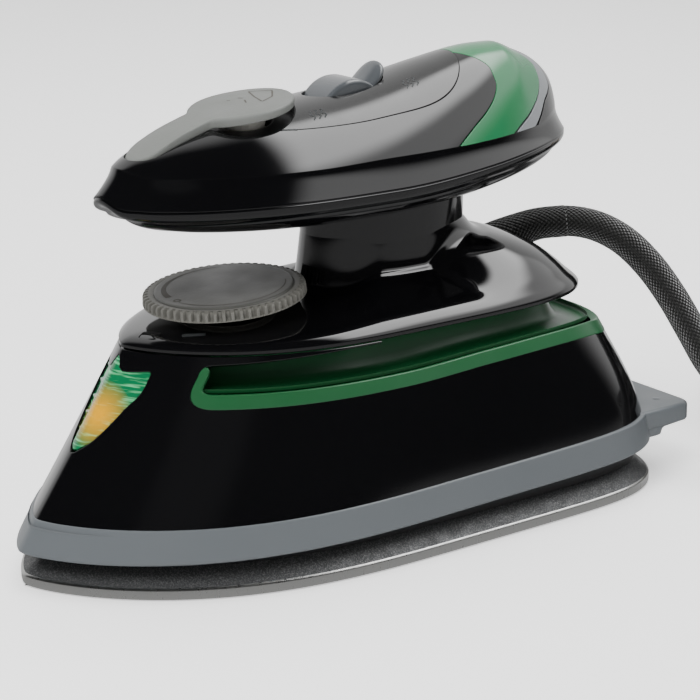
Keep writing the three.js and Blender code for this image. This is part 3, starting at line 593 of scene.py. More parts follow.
# ---- heat shield, skirt and heel ----
def make_skirt():
    foot = dict(nose=-87.8, rear=81.5, width=41.9)
    top = dict(nose=-83.9, rear=81.2, width=40.2)

    def band_ring(share, height, inset):
        low = BODY_PLAN.ring(**foot, inset=inset)
        high = BODY_PLAN.ring(**top, inset=inset)
        ring = low + share * (high - low)
        return raised(ring, height + skirt_lift(ring[:, 1]))

    profile = [(0, 14.0, 2.2), (0, 8.6, 2.2), (0, 8.1, 2.0), (0, 7.9, 1.4)]
    profile += [(0, 7.9, 0.7), (0, 8.0, 0.25), (0, 8.35, 0.02)]
    profile += [(share, 8.35 + 6.35 * share, 0.0) for share in np.linspace(0.03, 0.97, 14)]
    profile += [(1, 14.95, 0.06), (1, 15.15, 0.25), (1, 15.2, 0.6), (1, 15.2, 1.2)]
    skin = grid([band_ring(*row) for row in profile])
    piece("skirt_band", skin, SKIRT, replaces=["skirt"])
    upper = sole_ring(0, 2.4)
    shield = [sole_ring(6.75, 5.4), sole_ring(6.75, 3.2), raised(upper, 9 + skirt_lift(upper[:, 1]))]
    piece("heat_shield_ring", grid(shield), SATIN, replaces=["heat_shield"])
    make_heel()


def rounded_box_plan(half, front, back, corner, steps=6):
    """Half of a tail seen from above, from one side round the back to the other, with round corners."""
    points = [(half, front)]
    for middle, start in ((half - corner, 0), (corner - half, math.pi / 2)):
        points += [(middle + corner * math.cos(start + t), back - corner + corner * math.sin(start + t))
                   for t in np.linspace(0, math.pi / 2, steps)]
    return np.array(points + [(-half, front)])


def make_heel():
    """The flat tail behind the skirt: its top, its rounded edges, its step and its underside."""
    profile = ((11.2, 3.5, -7.6), (11.0, 1.5, -8.4), (11.6, 0.3, -8.9), (13.0, 0.1, -8.6), (13.6, 0.1, -7.4),
               (13.9, 0.3, -0.8), (14.0, 0.1, -0.3), (14.4, 0.0, 0.0), (17.6, 0.1, 0.0), (18.2, 0.25, -0.15),
               (18.5, 0.6, -0.5), (18.6, 1.2, -1.0))
    front = 60
    rows = [raised(rounded_box_plan(HEEL_HALF - inset, front, HEEL_REAR + shift, 3.2), z)
            for z, inset, shift in profile]
    x, y, z = rows[-1].T
    shell = grid(rows + [xyz(0.02 * x, front + (y - front) * 0.5, z)], closed=False)
    x, y, z = rows[0].T
    underside = grid([xyz(x, front, z), rows[0]], closed=False)
    piece("heel_tail", joined(shell, underside), SKIRT)
    pip = [circle(r, z, 20, (27, 82)) for r, z in ((1.1, 18.62), (0.8, 18.72), (0.35, 18.8))]
    piece("heel_pip", grid(pip, cap_last=True), SKIRT)


# ---- body shell, lens and cord groove ----
def groove_floor(y):
    return curve_through(y, (-60, -4, 22, 40, 57, 66, 72), (40.4, 40.4, 41.3, 41.7, 41.0, 39.5, 39.0))


def inside_groove(p):
    """How far points are above the groove's floor, behind its slanted front and below its top."""
    y, z = p[:, 1], p[:, 2]
    above = z - groove_floor(y)
    behind = ((y - GROOVE_Y) * 6.8 - (z - GROOVE_Z) * 4.5) / 8.154
    below = curve_through(y, (-48, -31, -17, -1, 8), (49.0, 49.8, 50.3, 50.8, 52.5)) - z
    return above, behind, below


def groove_opening(p):
    """How far points are inside the groove's side opening, which has round corners."""
    above, behind, below = inside_groove(p)
    return smooth_min(smooth_min(above, behind, 4.5), below, 1.6)


def inside_lens(p):
    """How far a point is inside the window: two side panes with a pointed strip between them at the nose."""
    across, y, z = np.abs(p[:, 0]), p[:, 1], p[:, 2]
    heights = (20, 27, 28.5, 31.4, 35.5, 39.8, 42.2, 47.5, 51)
    edge = curve_through(z, heights, (-92, -76, -74.5, -71.3, -67.4, -63.5, -61.1, -57.5, -55.3))
    top = curve_through(across, (0, 0.8, 1.6, 2.4, 3, 9.1, 13), (50, 49.0, 47.6, 46.8, 46.7, 47.5, 47.9))
    return smooth_min((edge - y) * 0.75, top - z, 0.8)


def body_grid(low, high, rows, inset=0.0):
    return grid([body_ring(z, inset) for z in np.linspace(low, high, rows)])


def make_body():
    shell = body_grid(14.2, BODY_TOP, 46)
    keep = np.maximum(groove_opening(shell.points) + 0.3, inside_lens(shell.points) + 0.15)
    piece("body_skin", rim(clip(shell, keep), 0.3, 2.2), GLOSS, replaces=["body_shell"])


def make_lens():
    window = body_grid(27, 51.2, 90, 0.15)
    near_nose = (np.abs(window.points[:, 0]) < 16) & (window.points[:, 1] < -50)
    window = clip(window, np.where(near_nose, -inside_lens(window.points), 1.0))
    x, z = window.points[:, 0], window.points[:, 2]
    side = smooth_step(np.abs(x), 2.3, 2.8)
    slope = 0.25 * np.abs(x) + 0.32 * np.sin(x * 0.3) * np.sign(x)
    ribs = np.exp(-(((z + slope) % 3.3 - 1.6) / 0.32) ** 2)
    window.points = window.points + window.normals * (side * (0.35 * ribs - 0.45))[:, None]
    window.normals = window.fresh_normals()
    piece("lens_window", rim(window, 0.15, 1.6), LENS, replaces=["nose_lens"])


def make_groove():
    wall = body_grid(37, 51.0, 80, -0.12)
    above, behind, _ = inside_groove(wall.points)
    opening = smooth_min(above - 2.5, behind - 0.9, 2.4)
    lip = rim(clip(wall, np.maximum(opening, -groove_opening(wall.points))), 0.45, 2.0)
    piece("groove_lip", lip, CHANNEL, replaces=["cord_channel"])
    trough = joined(groove_trough(), *groove_ends())
    piece("groove_trough", trough, CHANNEL)
    piece("groove_rib", rib_across_groove(), CHANNEL)


def groove_trough():
    """The groove's floor and inner wall, from the lip inwards."""
    profile = [(3.4, 1.5), (2.6, 1.8), (2.1, 2.3), (1.9, 3.2), (1.85, 5), (1.85, 7), (1.9, 8.4), (2.3, 9.1)]
    profile += [(3.2, 9.45), (4.5, 9.5), (7, 9.5), (10.5, 9.5)]
    rows = []
    for height, inset in profile:
        floor = groove_floor(body_ring(41, inset)[:, 1]).mean()
        ring = body_ring(floor + height, inset)
        rows.append(raised(ring, groove_floor(ring[:, 1]) + height))
    trough = grid([row[::-1] for row in rows])
    return clip(trough, 1.4 - inside_groove(trough.points)[1])


def groove_ends():
    """The slanted wall that closes the groove at its front, on both sides."""
    rows = []
    for z in np.linspace(41.6, 51.2, 9):
        y = np.array([GROOVE_Y + (z - GROOVE_Z) * 0.662 + 1.2])
        nose, rear, width = body_sizes(z)
        row = [(*BODY_PLAN.half_width(y, nose + 1.4 * inset, rear - inset, width - inset), *y, z)
               for inset in np.linspace(1.2, 10.5, 8)]
        rows.append(row[::-1])
    near = np.array(rows)
    return [grid(near, closed=False), grid(near[:, ::-1] * (-1, 1, 1), closed=False)]


def rib_across_groove():
    """The low rib that crosses the groove's floor behind the corner of the deck."""
    turn = np.linspace(0, np.pi, 7)
    ribs = []
    for side in (-1, 1):
        x, z = side * (15 + 0.7 * np.cos(turn)), 39.9 + 1.1 * np.sin(turn)
        rows = [xyz(x, y, z) for y in np.linspace(58, 68.2, 6)]
        ribs.append(grid(rows, closed=False))
    return joined(*ribs)


# ---- deck with its dome and column, in one skin ----
DECK_OUTLINE = dict(nose=-59.9, rear=65.7, width=29.7)
COLUMN = dict(nose=-9.0, rear=36.0, width=12.0)
# Heights from the column (0) out to the deck's edge (1): shares of the way, then heights.
SIDE_PROFILE = (
    (0, 0.03, 0.08, 0.2, 0.45, 0.7, 0.87, 0.95, 1),
    (68, 63.0, 61.0, 59.4, 57.5, 55.9, 54.6, 53.5, 52.3),
)
REAR_PROFILE = (
    (0, 0.1, 0.25, 0.48, 0.66, 0.82, 0.92, 0.97, 1),
    (70, 66.8, 65.6, 63.2, 60.6, 57.1, 54.4, 53.2, 52.3),
)
FRONT_PROFILE = (
    (0, 0.03, 0.08, 0.2, 0.5, 0.8, 0.92, 0.97, 1),
    (70, 60.6, 57.9, 56.9, 55.7, 54.4, 53.7, 53.1, 52.3),
)


def deck_ring(z, inset=0.0):
    return DECK_PLAN.ring(**DECK_OUTLINE, z=z, inset=inset)


def deck_rows():
    outer = deck_ring(0)[:, :2]
    angle = np.arctan2(outer[:, 1] - COLUMN_Y, outer[:, 0])
    inner = rays_out(COLUMN_PLAN, COLUMN, angle, (0, COLUMN_Y))
    front = smooth_step(-np.sin(angle), 0.55, 0.95)
    rear = smooth_step(np.sin(angle), 0.35, 0.95)
    rows = [deck_ring(z, inset) for z, inset in ((51.0, 2.5), (51.0, 0.6), (51.1, 0.2), (51.4, 0), (51.9, 0))]
    for share in np.linspace(1, 0, 100) ** 2.2:
        heights = [curve_through(share, *profile) for profile in (FRONT_PROFILE, SIDE_PROFILE, REAR_PROFILE)]
        z = front * heights[0] + rear * heights[2] + (1 - front - rear) * heights[1]
        rows.append(raised(inner + (outer - inner) * share, z))
    return rows + [raised(inner, z) for z in (71, 73, 75, 77.2)]


def make_deck():
    skin = grid(deck_rows())
    piece("deck_skin", skin, GLOSS, replaces=["deck_cover"])
    piece("deck_underside", grid([deck_ring(51.0, inset) for inset in (12, 2.4)]), SATIN)
    make_deck_marks(skin)


def on_surface(skin, x, y):
    """The height of a skin's nearest corner to a place."""
    return skin.points[np.argmin(np.hypot(skin.points[:, 0] - x, skin.points[:, 1] - y)), 2]


def make_deck_marks(skin):
    """A small square recess in the nose slope, drawn as a near-black matte patch of painted shade, and a
    raised bar under the dial's front.
    """
    along, across = (part[:, None] for part in squared(round_turn(32), 0.35))
    for name, centre, ahead, (length, width), rise, material in (
        ("deck_recess", (3.0, -54.2), (0.82, 0.57), (2.3, 1.9), 0.05, RECESS_SHADE),
        # The bar's grey is painted glint, for light caught on its raised top.
        ("deck_bar", (9.9, -46.9), (0.5, 0.866), (2.7, 0.6), 0.25, GLINT),
    ):
        side = np.array([ahead[1], -ahead[0]])
        outline = along * length * np.array(ahead) - across * width * side
        rows = []
        for share, lift in ((1.0, -0.3), (1.0, rise * 0.7), (0.93, rise), (0.5, rise), (0.1, rise)):
            plan = centre + outline * share
            rows.append(raised(plan, [on_surface(skin, *place) + lift for place in plan]))
        piece(name, grid(rows, cap_last=True), material)


# ---- temperature dial ----
def turned(points):
    """From the dial's own axes to the iron's."""
    cos, sin = math.cos(DIAL_TILT), math.sin(DIAL_TILT)
    x, y, z = points[..., 0], points[..., 1], points[..., 2]
    return np.stack([x, y * cos - z * sin, y * sin + z * cos], -1) + np.array(DIAL_CENTRE)


def dial_rows(profile, columns=480, teeth=0.0):
    """Rings round the dial's axis, by radius, height and how deep the teeth cut into them."""
    angle = round_turn(columns)
    wave = teeth * smooth_step(np.cos(DIAL_TEETH * angle), -0.35, 0.35)
    rings = [((radius - depth * wave), z) for radius, z, depth in profile]
    return turned(np.array([xyz(r * np.cos(angle), r * np.sin(angle), z) for r, z in rings]))


def make_dial():
    edge = [(3.2, 0.8, 0), (18.4, 0.8, 0), (19.0, 0.85, 0), (19.15, 0.95, 0), (19.15, 1.15, 0),
            (19.05, 1.2, 1), (19.05, 1.8, 1), (19.05, 2.3, 1), (19.0, 2.7, 1), (18.8, 3.0, 1),
            (18.4, 3.15, 1), (18.0, 3.22, 0.5),
            (17.7, 3.24, 0), (16.9, 3.25, 0), (16.6, 3.1, 0), (16.4, 3.08, 0)]
    piece("dial_wheel", grid(dial_rows(edge, 768, 1.1)), DIAL, "dial", ["temperature_dial"])
    disc = [(16.4, 3.0, 0), (16.3, 3.3, 0), (16.1, 3.48, 0), (15.7, 3.55, 0), (8, 3.55, 0), (2, 3.55, 0)]
    piece("dial_disc", grid(dial_rows(disc, 160), cap_last=True), DIAL_TOP, "dial")
    collar = [(10.6, -1.55, 0), (10.4, -1.0, 0), (11.4, -0.55, 0), (11.6, -0.25, 0), (11.3, -0.05, 0),
              (4, -0.02, 0)]
    piece("dial_neck", grid(dial_rows(collar, 96)), DIAL, replaces=["dial_collar"])
    make_dial_marks()


def make_dial_marks():
    """A wedge that widens round the disc, a small ring and a thin arc."""
    height = 3.58

    def arc(radius, degrees):
        turn = np.radians(degrees)
        return turned(xyz(radius * np.cos(turn), radius * np.sin(turn), height))

    wedge = np.linspace(150, 262, 60)
    line = np.linspace(-78, 60, 60)
    marks = [
        grid([arc(14.6, wedge), arc(14.6 - np.linspace(0.15, 1.5, 60), wedge)], closed=False),
        grid([turned(circle(radius, height, 32, (1.5, -13.6))) for radius in (0.95, 0.6)]),
        grid([arc(radius, line) for radius in (14.5, 14.2)], closed=False),
    ]
    piece("dial_marks", joined(*marks), MARK, "dial")


# ---- handle ----
PARTING = dict(nose=-64.4, rear=68.2, width=23.9)
SHOULDER = dict(nose=-60.0, rear=65.8, width=21.3)
# Heights along the handle: places from nose to rear, then heights.
PARTING_LINE = (
    (-64.4, -63, -59.7, -52, 0, 32.6, 45, 58, 68.2),
    (86.5, 84.8, 84.3, 84.1, 83.9, 85.6, 86.6, 87.7, 88.4),
)
SHOULDER_LINE = (
    (-60, -57, -45, -20, 1.5, 20, 43, 53, 58, 65.8),
    (92.2, 90.9, 90.5, 90.3, 90.8, 90.8, 91, 91.3, 92.3, 93.5),
)
CREST = (
    (-60, -56.5, -50, -45.5, -40, -30, -14, 0, 13, 26, 38, 46, 52, 57, 61, 63.5, 65, 65.8),
    (92.2, 94.2, 96.6, 98.0, 99.3, 101.1, 102.9, 104.4, 106.4, 108.9, 110.9, 111.1, 109.0, 106.9,
     104.2, 101.6, 98.5, 93.5),
)


def rays_out(plan, sizes, angles, centre=(0.0, PANEL_Y)):
    """Where rays from a point inside an outline meet it."""
    def place(run):
        return centre[0] + run * np.cos(angles), centre[1] + run * np.sin(angles)

    def inside(run):
        x, y = place(run)
        return (y > sizes["nose"]) & (y < sizes["rear"]) & (np.abs(x) < plan.half_width(y, **sizes))

    return np.column_stack(place(reach(inside, len(angles), 160, 44)))


def handle_angles(count=360):
    fine = np.linspace(-np.pi, np.pi, 4001)
    run = distances(rays_out(HANDLE_PLAN, SHOULDER, fine))
    return np.interp(np.arange(count) / count * run[-1], run, fine)


def on_crown(plan, lift=0.0):
    """Plan points, taken up to the handle's top surface."""
    x, y = plan.T
    base = curve_through(y, *SHOULDER_LINE)
    half = np.maximum(HANDLE_PLAN.half_width(y, **SHOULDER), 1e-3)
    share = np.clip(np.abs(x) / half, 0, 1)
    crown = 1 - 0.6 * share**2 - 0.4 * share**4
    return raised(plan, base + (curve_through(y, *CREST) - base) * crown + lift)


def panel_edge(angles, grow=0.0):
    return rays_out(PANEL_PLAN, dict(nose=-45 - grow, rear=32.5 + grow, width=15 + grow), angles)


# How far back the band's two edges and the stripe's rear edge are, by distance from the middle.
BAND_ACROSS = (0, 2, 4, 6, 8, 10, 12, 14, 16, 18, 20, 22)
BAND_FRONT = (31.3, 31.9, 33.2, 34.9, 36.9, 38.3, 38.3, 36.5, 32.6, 27.2, 21.6, 16.0)
BAND_REAR = (46.0, 49.2, 53.4, 55.9, 55.6, 53.9, 51.0, 47.4, 42.8, 37.9, 32.5, 27.0)
STRIPE_REAR = (48.5, 53.0, 58.6, 60.2, 58.6, 55.9, 53.2, 49.9, 45.6, 40.8, 35.4, 30.0)


def behind_line(p, line):
    """How far points are behind one of the band's edges."""
    across = np.abs(p[:, 0])
    ahead, here, back = (curve_through(across + step, BAND_ACROSS, line) for step in (0.05, 0, -0.05))
    return (p[:, 1] - here) / np.sqrt(1.3 + ((ahead - back) * 10) ** 2)


def make_crown():
    angles = handle_angles()
    low = rays_out(HANDLE_PLAN, PARTING, angles)
    high = rays_out(HANDLE_PLAN, SHOULDER, angles)
    foot = curve_through(low[:, 1], *PARTING_LINE)
    top = curve_through(high[:, 1], *SHOULDER_LINE)
    belt = [raised(low * 0.985, foot - 0.5), raised(low * 0.997, foot - 0.1)]
    for share in np.linspace(0, 1, 20):
        hollow = 1 - (1 - share) ** 1.3
        belt.append(raised(low + (high - low) * hollow, foot + 0.1 + (top - foot - 0.35) * share))
    belt.append(raised(high * 0.998, top - 0.08))
    edge = panel_edge(angles, 0.25)
    shares = 0.012 + 0.988 * np.linspace(0, 1, 70) ** 1.5
    dome = [on_crown(high + (edge - high) * share) for share in shares]
    piece("handle_belt", grid(belt + dome[:1]), GLOSS, replaces=["handle_upper"])
    make_dome(grid(dome))


def make_dome(upper):
    """Cuts the handle's top into its front, its tail, the green band and the grey stripe, with fine gaps."""
    gap = 0.12
    front, rear, last = (behind_line(upper.points, line) for line in (BAND_FRONT, BAND_REAR, STRIPE_REAR))
    main = np.maximum(front + gap, cap_room(upper.points, 0.35))
    for name, cut, depth, material, replaces, slot in (
        ("handle_dome", main, 2.4, GLOSS, [], "gloss_black"),
        ("handle_tail", gap - last, 1.2, GLOSS, [], "gloss_black"),
        ("band_skin", np.maximum(gap - front, rear + gap), 1.0, BAND, ["green_band"], "band_green"),
        ("band_stripe", np.maximum(gap - rear, last + gap), 1.0, STRIPE, [], "gloss_black"),
    ):
        piece(name, rim(clip(upper, cut), gap, depth), material, replaces=replaces)


def make_hull():
    """The handle's lower shell: a narrow upright edge, a rounded corner and a shallow bowl."""
    edge = rays_out(HANDLE_PLAN, PARTING, handle_angles())
    top = curve_through(edge[:, 1], *PARTING_LINE) - 0.3
    middle = np.array([0.0, 2.0])
    bottom = 74.5 + 0.25 * (top - 83.6)
    rows = [raised(edge * 0.985, top + 0.2), raised(edge * 0.997, top)]
    for share, drop in ((1, 0.3), (0.999, 1.0), (0.992, 1.7), (0.978, 2.3), (0.955, 2.9)):
        rows.append(raised(middle + (edge - middle) * share, top - drop))
    for share in np.cos(np.linspace(0.12, np.pi / 2 - 0.05, 34)):
        depth = (1 - share**2.4) ** (1 / 1.7)
        plan = middle + (edge - middle) * 0.955 * share
        rows.append(raised(plan, top - 2.9 - (top - 2.9 - bottom) * depth))
    piece("hull_skin", grid(rows[::-1], cap_first=True), GLOSS, replaces=["handle_lower"])


def lever_recess(x, y):
    """How far inside the lever's oval recess a place is."""
    return (1 - np.sqrt((x / 6.6) ** 2 + ((y - RECESS_Y) / 11.3) ** 2)) * 6.6


def make_panel():
    edge = panel_edge(handle_angles(300), -0.1)
    rows = [on_crown(edge + ((0, PANEL_Y) - edge) * share) for share in np.linspace(0, 0.97, 70)]
    plate = grid(rows, cap_last=True)
    keep = np.maximum(lever_recess(plate.points[:, 0], plate.points[:, 1]), cap_room(plate.points, 0.35))
    piece("panel_skin", rim(clip(plate, keep), 0.35, 3.0), PANEL, replaces=["top_panel"])
    turn = round_turn(64)
    well = [xyz(7.0 * np.cos(turn), RECESS_Y + 11.7 * np.sin(turn), z)[::-1] for z in (102, 95.5)]
    piece("lever_well", grid(well), SATIN)


# ---- filler cap ----
CAP_LINE = ((-62, -56, -47.6, -41, -36, -30, -12), (90.6, 93.9, 98.2, 100.6, 102.1, 103.4, 105.6))


def cap_distance(x, y):
    """How far outside the cap's plan a point is: a disc, a neck and a tongue with a round tip."""
    disc = np.hypot(x, y - CAP_Y) - CAP_RADIUS
    tongue = np.maximum(np.hypot(x, np.minimum(y + 51.5, 0)) - 5.3, y - CAP_Y)
    return smooth_min(disc, tongue, 1.2)


def cap_room(p, gap):
    """Above zero inside the recess that the cap lies in."""
    return gap - cap_distance(p[:, 0], p[:, 1])


def cap_outline(angles, grow=0.0):
    """The cap's plan outline, by angle round the middle of its disc."""
    def place(run):
        return run * np.cos(angles), CAP_Y + run * np.sin(angles)

    return np.column_stack(place(reach(lambda run: cap_distance(*place(run)) < grow, len(angles), 60, 40)))


def make_cap():
    angles = round_turn(240)
    middle = np.array([0.0, CAP_Y])
    edge = cap_outline(angles)
    inwards = unit(middle - edge)
    profile = ((1.6, 2.0), (0.3, 2.0), (0.08, 1.85), (0, 1.5), (0, 0.7), (0.12, 0.28), (0.4, 0.06), (0.8, 0))
    rows = [on_cap(edge + inwards * inset, -drop) for inset, drop in profile]
    rows += [on_cap(edge + (middle - edge) * share) for share in np.linspace(0.08, 0.97, 30)]
    piece("cap_skin", grid(rows, cap_last=True), CAP, "cap", ["fill_cap"])
    jug = [(-5.6, -21.2), (-1.4, -17.4), (3.4, -20.6), (5.2, -24.6), (0.2, -23.4), (-5.6, -21.2)]
    drops = [[(-2.9, -28.9), (-2.2, -28.4)], [(-2.4, -26.2), (-1.2, -25.7)], [(0.6, -26.3), (2.9, -27.4)]]
    marks = [ribbon(line, 0.2, lambda plan: on_cap(plan, 0.03)) for line in (jug, *drops)]
    piece("cap_marks", joined(*marks), MARK, "cap")
    make_cap_recess(angles)


def make_cap_recess(angles):
    """The shallow bed that the cap lies in, down to the round inlet."""
    outer = cap_outline(angles, 0.5)
    inlet = circle(6.9, 96.5, len(angles), (0, -26.5))
    plan = inlet[:, :2]
    rows = [inlet] + [on_crown(plan + (outer - plan) * share, -2.3) for share in np.linspace(0, 1, 14)]
    piece("cap_recess", grid([row[::-1] for row in rows]), SATIN)


def on_cap(plan, lift=0.0):
    """Plan points, taken up to the cap's top surface."""
    x, y = plan.T
    return raised(plan, curve_through(y, *CAP_LINE) + 0.05 - 0.004 * x**2 + lift)


def ribbon(line, half, onto):
    """A thin printed line on a surface."""
    line = np.array(line, float)
    run = distances(line)
    at = np.linspace(0, run[-1], 6 * len(line))
    plan = np.column_stack([np.interp(at, run, part) for part in line.T])
    ahead = unit(np.gradient(plan, axis=0))
    side = np.column_stack([-ahead[:, 1], ahead[:, 0]]) * half
    return grid([onto(plan - side), onto(plan + side)], closed=False)


def make_panel_marks():
    """Generic marks on the panel, steam puffs and level lines, drawn in a grey that is a painted glint for
    light on their raised relief.
    """
    marks = []
    for x, y in ((10.5, -14.5), (8.5, 13.5)):
        for start in (y, y + 1.5, y + 3.0):
            wave = [(x - 1.5 + 0.6 * t, start + 0.45 * math.sin(2.2 * t)) for t in np.linspace(0, 5, 12)]
            marks.append(ribbon(wave, 0.16, lambda plan: on_crown(plan, 0.04)))
    marks.append(ribbon([(12.3, -24.0), (13.2, -20.5)], 0.2, lambda plan: on_crown(plan, 0.04)))
    piece("panel_marks", joined(*marks), GLINT)


# ---- steam lever ----
def make_lever():
    """The drum, with what the tank leaves no room for cut away, and its paddle."""
    angles = round_turn(120)
    profile = ((4.0, -5.3), (8.2, -5.3), (8.9, -5.2), (9.35, -4.85), (9.5, -4.2), (9.5, 0), (9.5, 4.2),
               (9.35, 4.85), (8.9, 5.2), (8.2, 5.3), (4.0, 5.3))
    drum = grid([xyz(x, LEVER_Y + r * np.cos(angles), LEVER_Z + r * np.sin(angles)) for r, x in profile])
    for turn, room in ((0, 4.7), (LEVER_LIMIT, 6.6)):
        y, z = drum.points[:, 1] - LEVER_Y, drum.points[:, 2] - LEVER_Z
        drum = clip(drum, -room - (math.cos(turn) * z + math.sin(turn) * y))
    piece("lever_drum", drum, LEVER, "lever", ["steam_lever"])
    turn = round_turn(64)
    wide, thick = squared(turn, 0.85)[0], np.sin(turn)
    cos, sin = math.cos(PADDLE_ANGLE), math.sin(PADDLE_ANGLE)
    rows = []
    for height, half_width, half_depth in (
        (7.5, 4.8, 2.5), (9.2, 4.65, 2.1), (10.4, 4.6, 1.85), (11.6, 4.55, 1.7), (13.2, 4.15, 1.6),
        (14.5, 3.4, 1.45), (15.3, 2.4, 1.2), (15.75, 1.4, 0.8), (15.9, 0.4, 0.25),
    ):
        depth = half_depth * thick
        y, z = LEVER_Y + cos * height + sin * depth, LEVER_Z + sin * height - cos * depth
        rows.append(xyz(half_width * wide, y, z)[::-1])
    piece("lever_paddle", grid(rows, cap_last=True), LEVER, "lever")


# ---- mains lead ----
GLAND_ROUTE = [(-10.6, 50.2, 54.6), (-7.4, 59.6, 58.6), (-4.1, 66.4, 61.1), (0, 72.9, 61.9)]
LEAD_ROUTE = GLAND_ROUTE[1:] + [
    (5, 78.8, 60.8), (10.6, 83.6, 57.4), (16.6, 87.5, 51.4), (22.8, 90, 44), (29.2, 91.3, 36.1),
    (35.6, 92.2, 28.6), (42.2, 94.2, 22.6), (48.8, 98.2, 17.8), (54.9, 103.8, 13.4), (60.4, 110.8, 9.6),
    (65, 119.2, 6.8), (69, 128.8, 4.9), (71.8, 139.1, 4.15), (73.5, 149.7, 4.05), (74, 160, 4.05),
]
# Where the wound lead crosses from one turn to the next: first angle, radius and height before and after.
CROSSINGS = ((320, 44, 4, 36, 4), (644, 36, 4, 36, 12), (968, 36, 12, 44, 12), (1292, 44, 12, 44, 20),
             (1616, 44, 20, 36, 20), (1940, 36, 20, 36, 28), (2264, 36, 28, 44, 28))


def on_coil(radius, degrees, z):
    angle = np.radians(degrees)
    return xyz(COIL_X + radius * np.cos(angle), COIL_Y + radius * np.sin(angle), z)


def coil_points(degrees):
    """The wound lead, turn on turn, with its end rising to the plug that lies on top."""
    radius, height = 44.0, 4.05
    for start, r0, z0, r1, z1 in CROSSINGS:
        share = smooth_step(degrees, start, start + 36)
        radius = np.where(degrees < start, radius, r0 + (r1 - r0) * share)
        height = np.where(degrees < start, height, z0 + (z1 - z0) * share + 0.05)
    rise = smooth_step(degrees, 2520, 2613)
    return on_coil(radius + (TOP_TURN - radius) * rise, degrees, height + (TOP_HEIGHT - height) * rise)


def cord_path():
    points = np.vstack([LEAD_ROUTE, coil_points(np.arange(0, 2617, 12))])
    length = distances(points)[-1]
    return along_route(points, np.arange(0, length, CORD_STEP)), length


def tube(path, radius, sides=20):
    """Rings round a path, without twist. The radius may change along it."""
    ahead = unit(np.gradient(path, axis=0))
    side = unit(np.cross(ahead[0], UP))
    turn = round_turn(sides)
    rows = []
    for point, forward, r in zip(path, ahead, np.broadcast_to(radius, len(path))):
        side = unit(side - forward * np.dot(side, forward))
        other = np.cross(forward, side)
        rows.append(point + r * (np.cos(turn)[:, None] * side + np.sin(turn)[:, None] * other))
    return grid(rows, cap_first=True, cap_last=True)


def add_cord_uv(made, sides, rings, step):
    """Texture coordinates along and round a tube, in braid steps."""
    mesh = made.data
    layer = mesh.uv_layers.new(name="braid")
    for polygon in mesh.polygons:
        around = [corner % sides for corner in polygon.vertices]
        wraps = max(around) - min(around) > sides / 2
        for loop, corner, place in zip(polygon.loop_indices, polygon.vertices, around):
            turn = place / sides + (wraps and place < sides / 2)
            layer.data[loop].uv = (min(corner // sides, rings) * step / BRAID_PITCH, turn)


def make_cord():
    path, length = cord_path()
    solids = ["cord_lead", "cord_coil", "cord_tail"]
    lead = piece("mains_lead", tube(path, CORD_RADIUS), BRAID, replaces=solids)
    add_cord_uv(lead, 20, len(path), CORD_STEP)
    made = [make_strap(), make_plug_sleeve(), make_plug()]
    make_gland()


def make_gland():
    """The tapered strain relief, with the braid drawn over it."""
    length = distances(GLAND_ROUTE)[-1]
    at = np.linspace(0, length, 70)
    radius = 5.3 - 1.15 * smooth_step(at / length, 0.1, 0.8)
    path = along_route(np.array(GLAND_ROUTE), at)
    sleeve = piece("gland_sleeve", tube(path, radius, 28), BRAID, replaces=["cord_gland"])
    add_cord_uv(sleeve, 28, 70, length / 69)


def make_strap():
    """The strap round the coil."""
    across, up = squared(round_turn(72), 0.35)
    angle = math.radians(STRAP_ANGLE)
    cos, sin = math.cos(angle), math.sin(angle)
    rows = []
    for along, grow in ((-5, -0.6), (-5, 0.0), (-4.7, 0.25), (4.7, 0.25), (5, 0.0), (5, -0.6)):
        scale = 1 + grow / 12
        out = TOP_TURN + 9.2 * scale * across
        x, y = COIL_X + out * cos - along * sin, COIL_Y + out * sin + along * cos
        rows.append(xyz(x, y, 16.9 + 16.7 * scale * up))
    return piece("coil_strap", grid(rows), RUBBER, replaces=["coil_tie"])


def make_plug_sleeve():
    """The plug's own tapered strain relief, with ribs."""
    path = on_coil(TOP_TURN, np.linspace(98, 129.3, 60), TOP_HEIGHT)
    share = np.linspace(0, 1, 60)
    ribs = 0.4 * smooth_step(np.cos(share * 2 * np.pi * 7), -0.1, 0.4) * (share < 0.85)
    skin = tube(path, 4.5 + 1.7 * share - ribs, 28)
    return piece("plug_sleeve", skin, RUBBER, replaces=["plug_relief"])


def make_plug():
    """A plain three pin plug that lies on the coil, pins up."""
    angle = math.radians(PLUG_ANGLE)
    cos, sin = math.cos(angle), math.sin(angle)
    centre = on_coil(TOP_TURN, PLUG_ANGLE, 32.3) + 21 * np.array([-sin, cos, 0])
    x, y = squared(round_turn(96), 0.55)
    x, y = 23 * x * (1 - 0.24 * np.maximum(0, y) ** 2), 21 * y
    rows = []
    for z, grow in ((0.1, 0.9), (0.3, 0.96), (1.2, 0.99), (3, 1), (9, 1), (15, 0.99), (17, 0.975),
                    (17.8, 0.95), (18, 0.91)):
        rows.append(centre + xyz(grow * (y * sin - x * cos), -grow * (x * sin + y * cos), z))
    skin = grid(rows, cap_first=True, cap_last=True)
    return piece("plug_shell", skin, RUBBER, replaces=["plug_body"])


make_cord()
make_sole()
make_skirt()
make_body()
make_lens()
make_groove()
make_deck()
make_dial()
make_hull()
make_crown()
make_panel()
make_cap()
make_panel_marks()
make_lever()

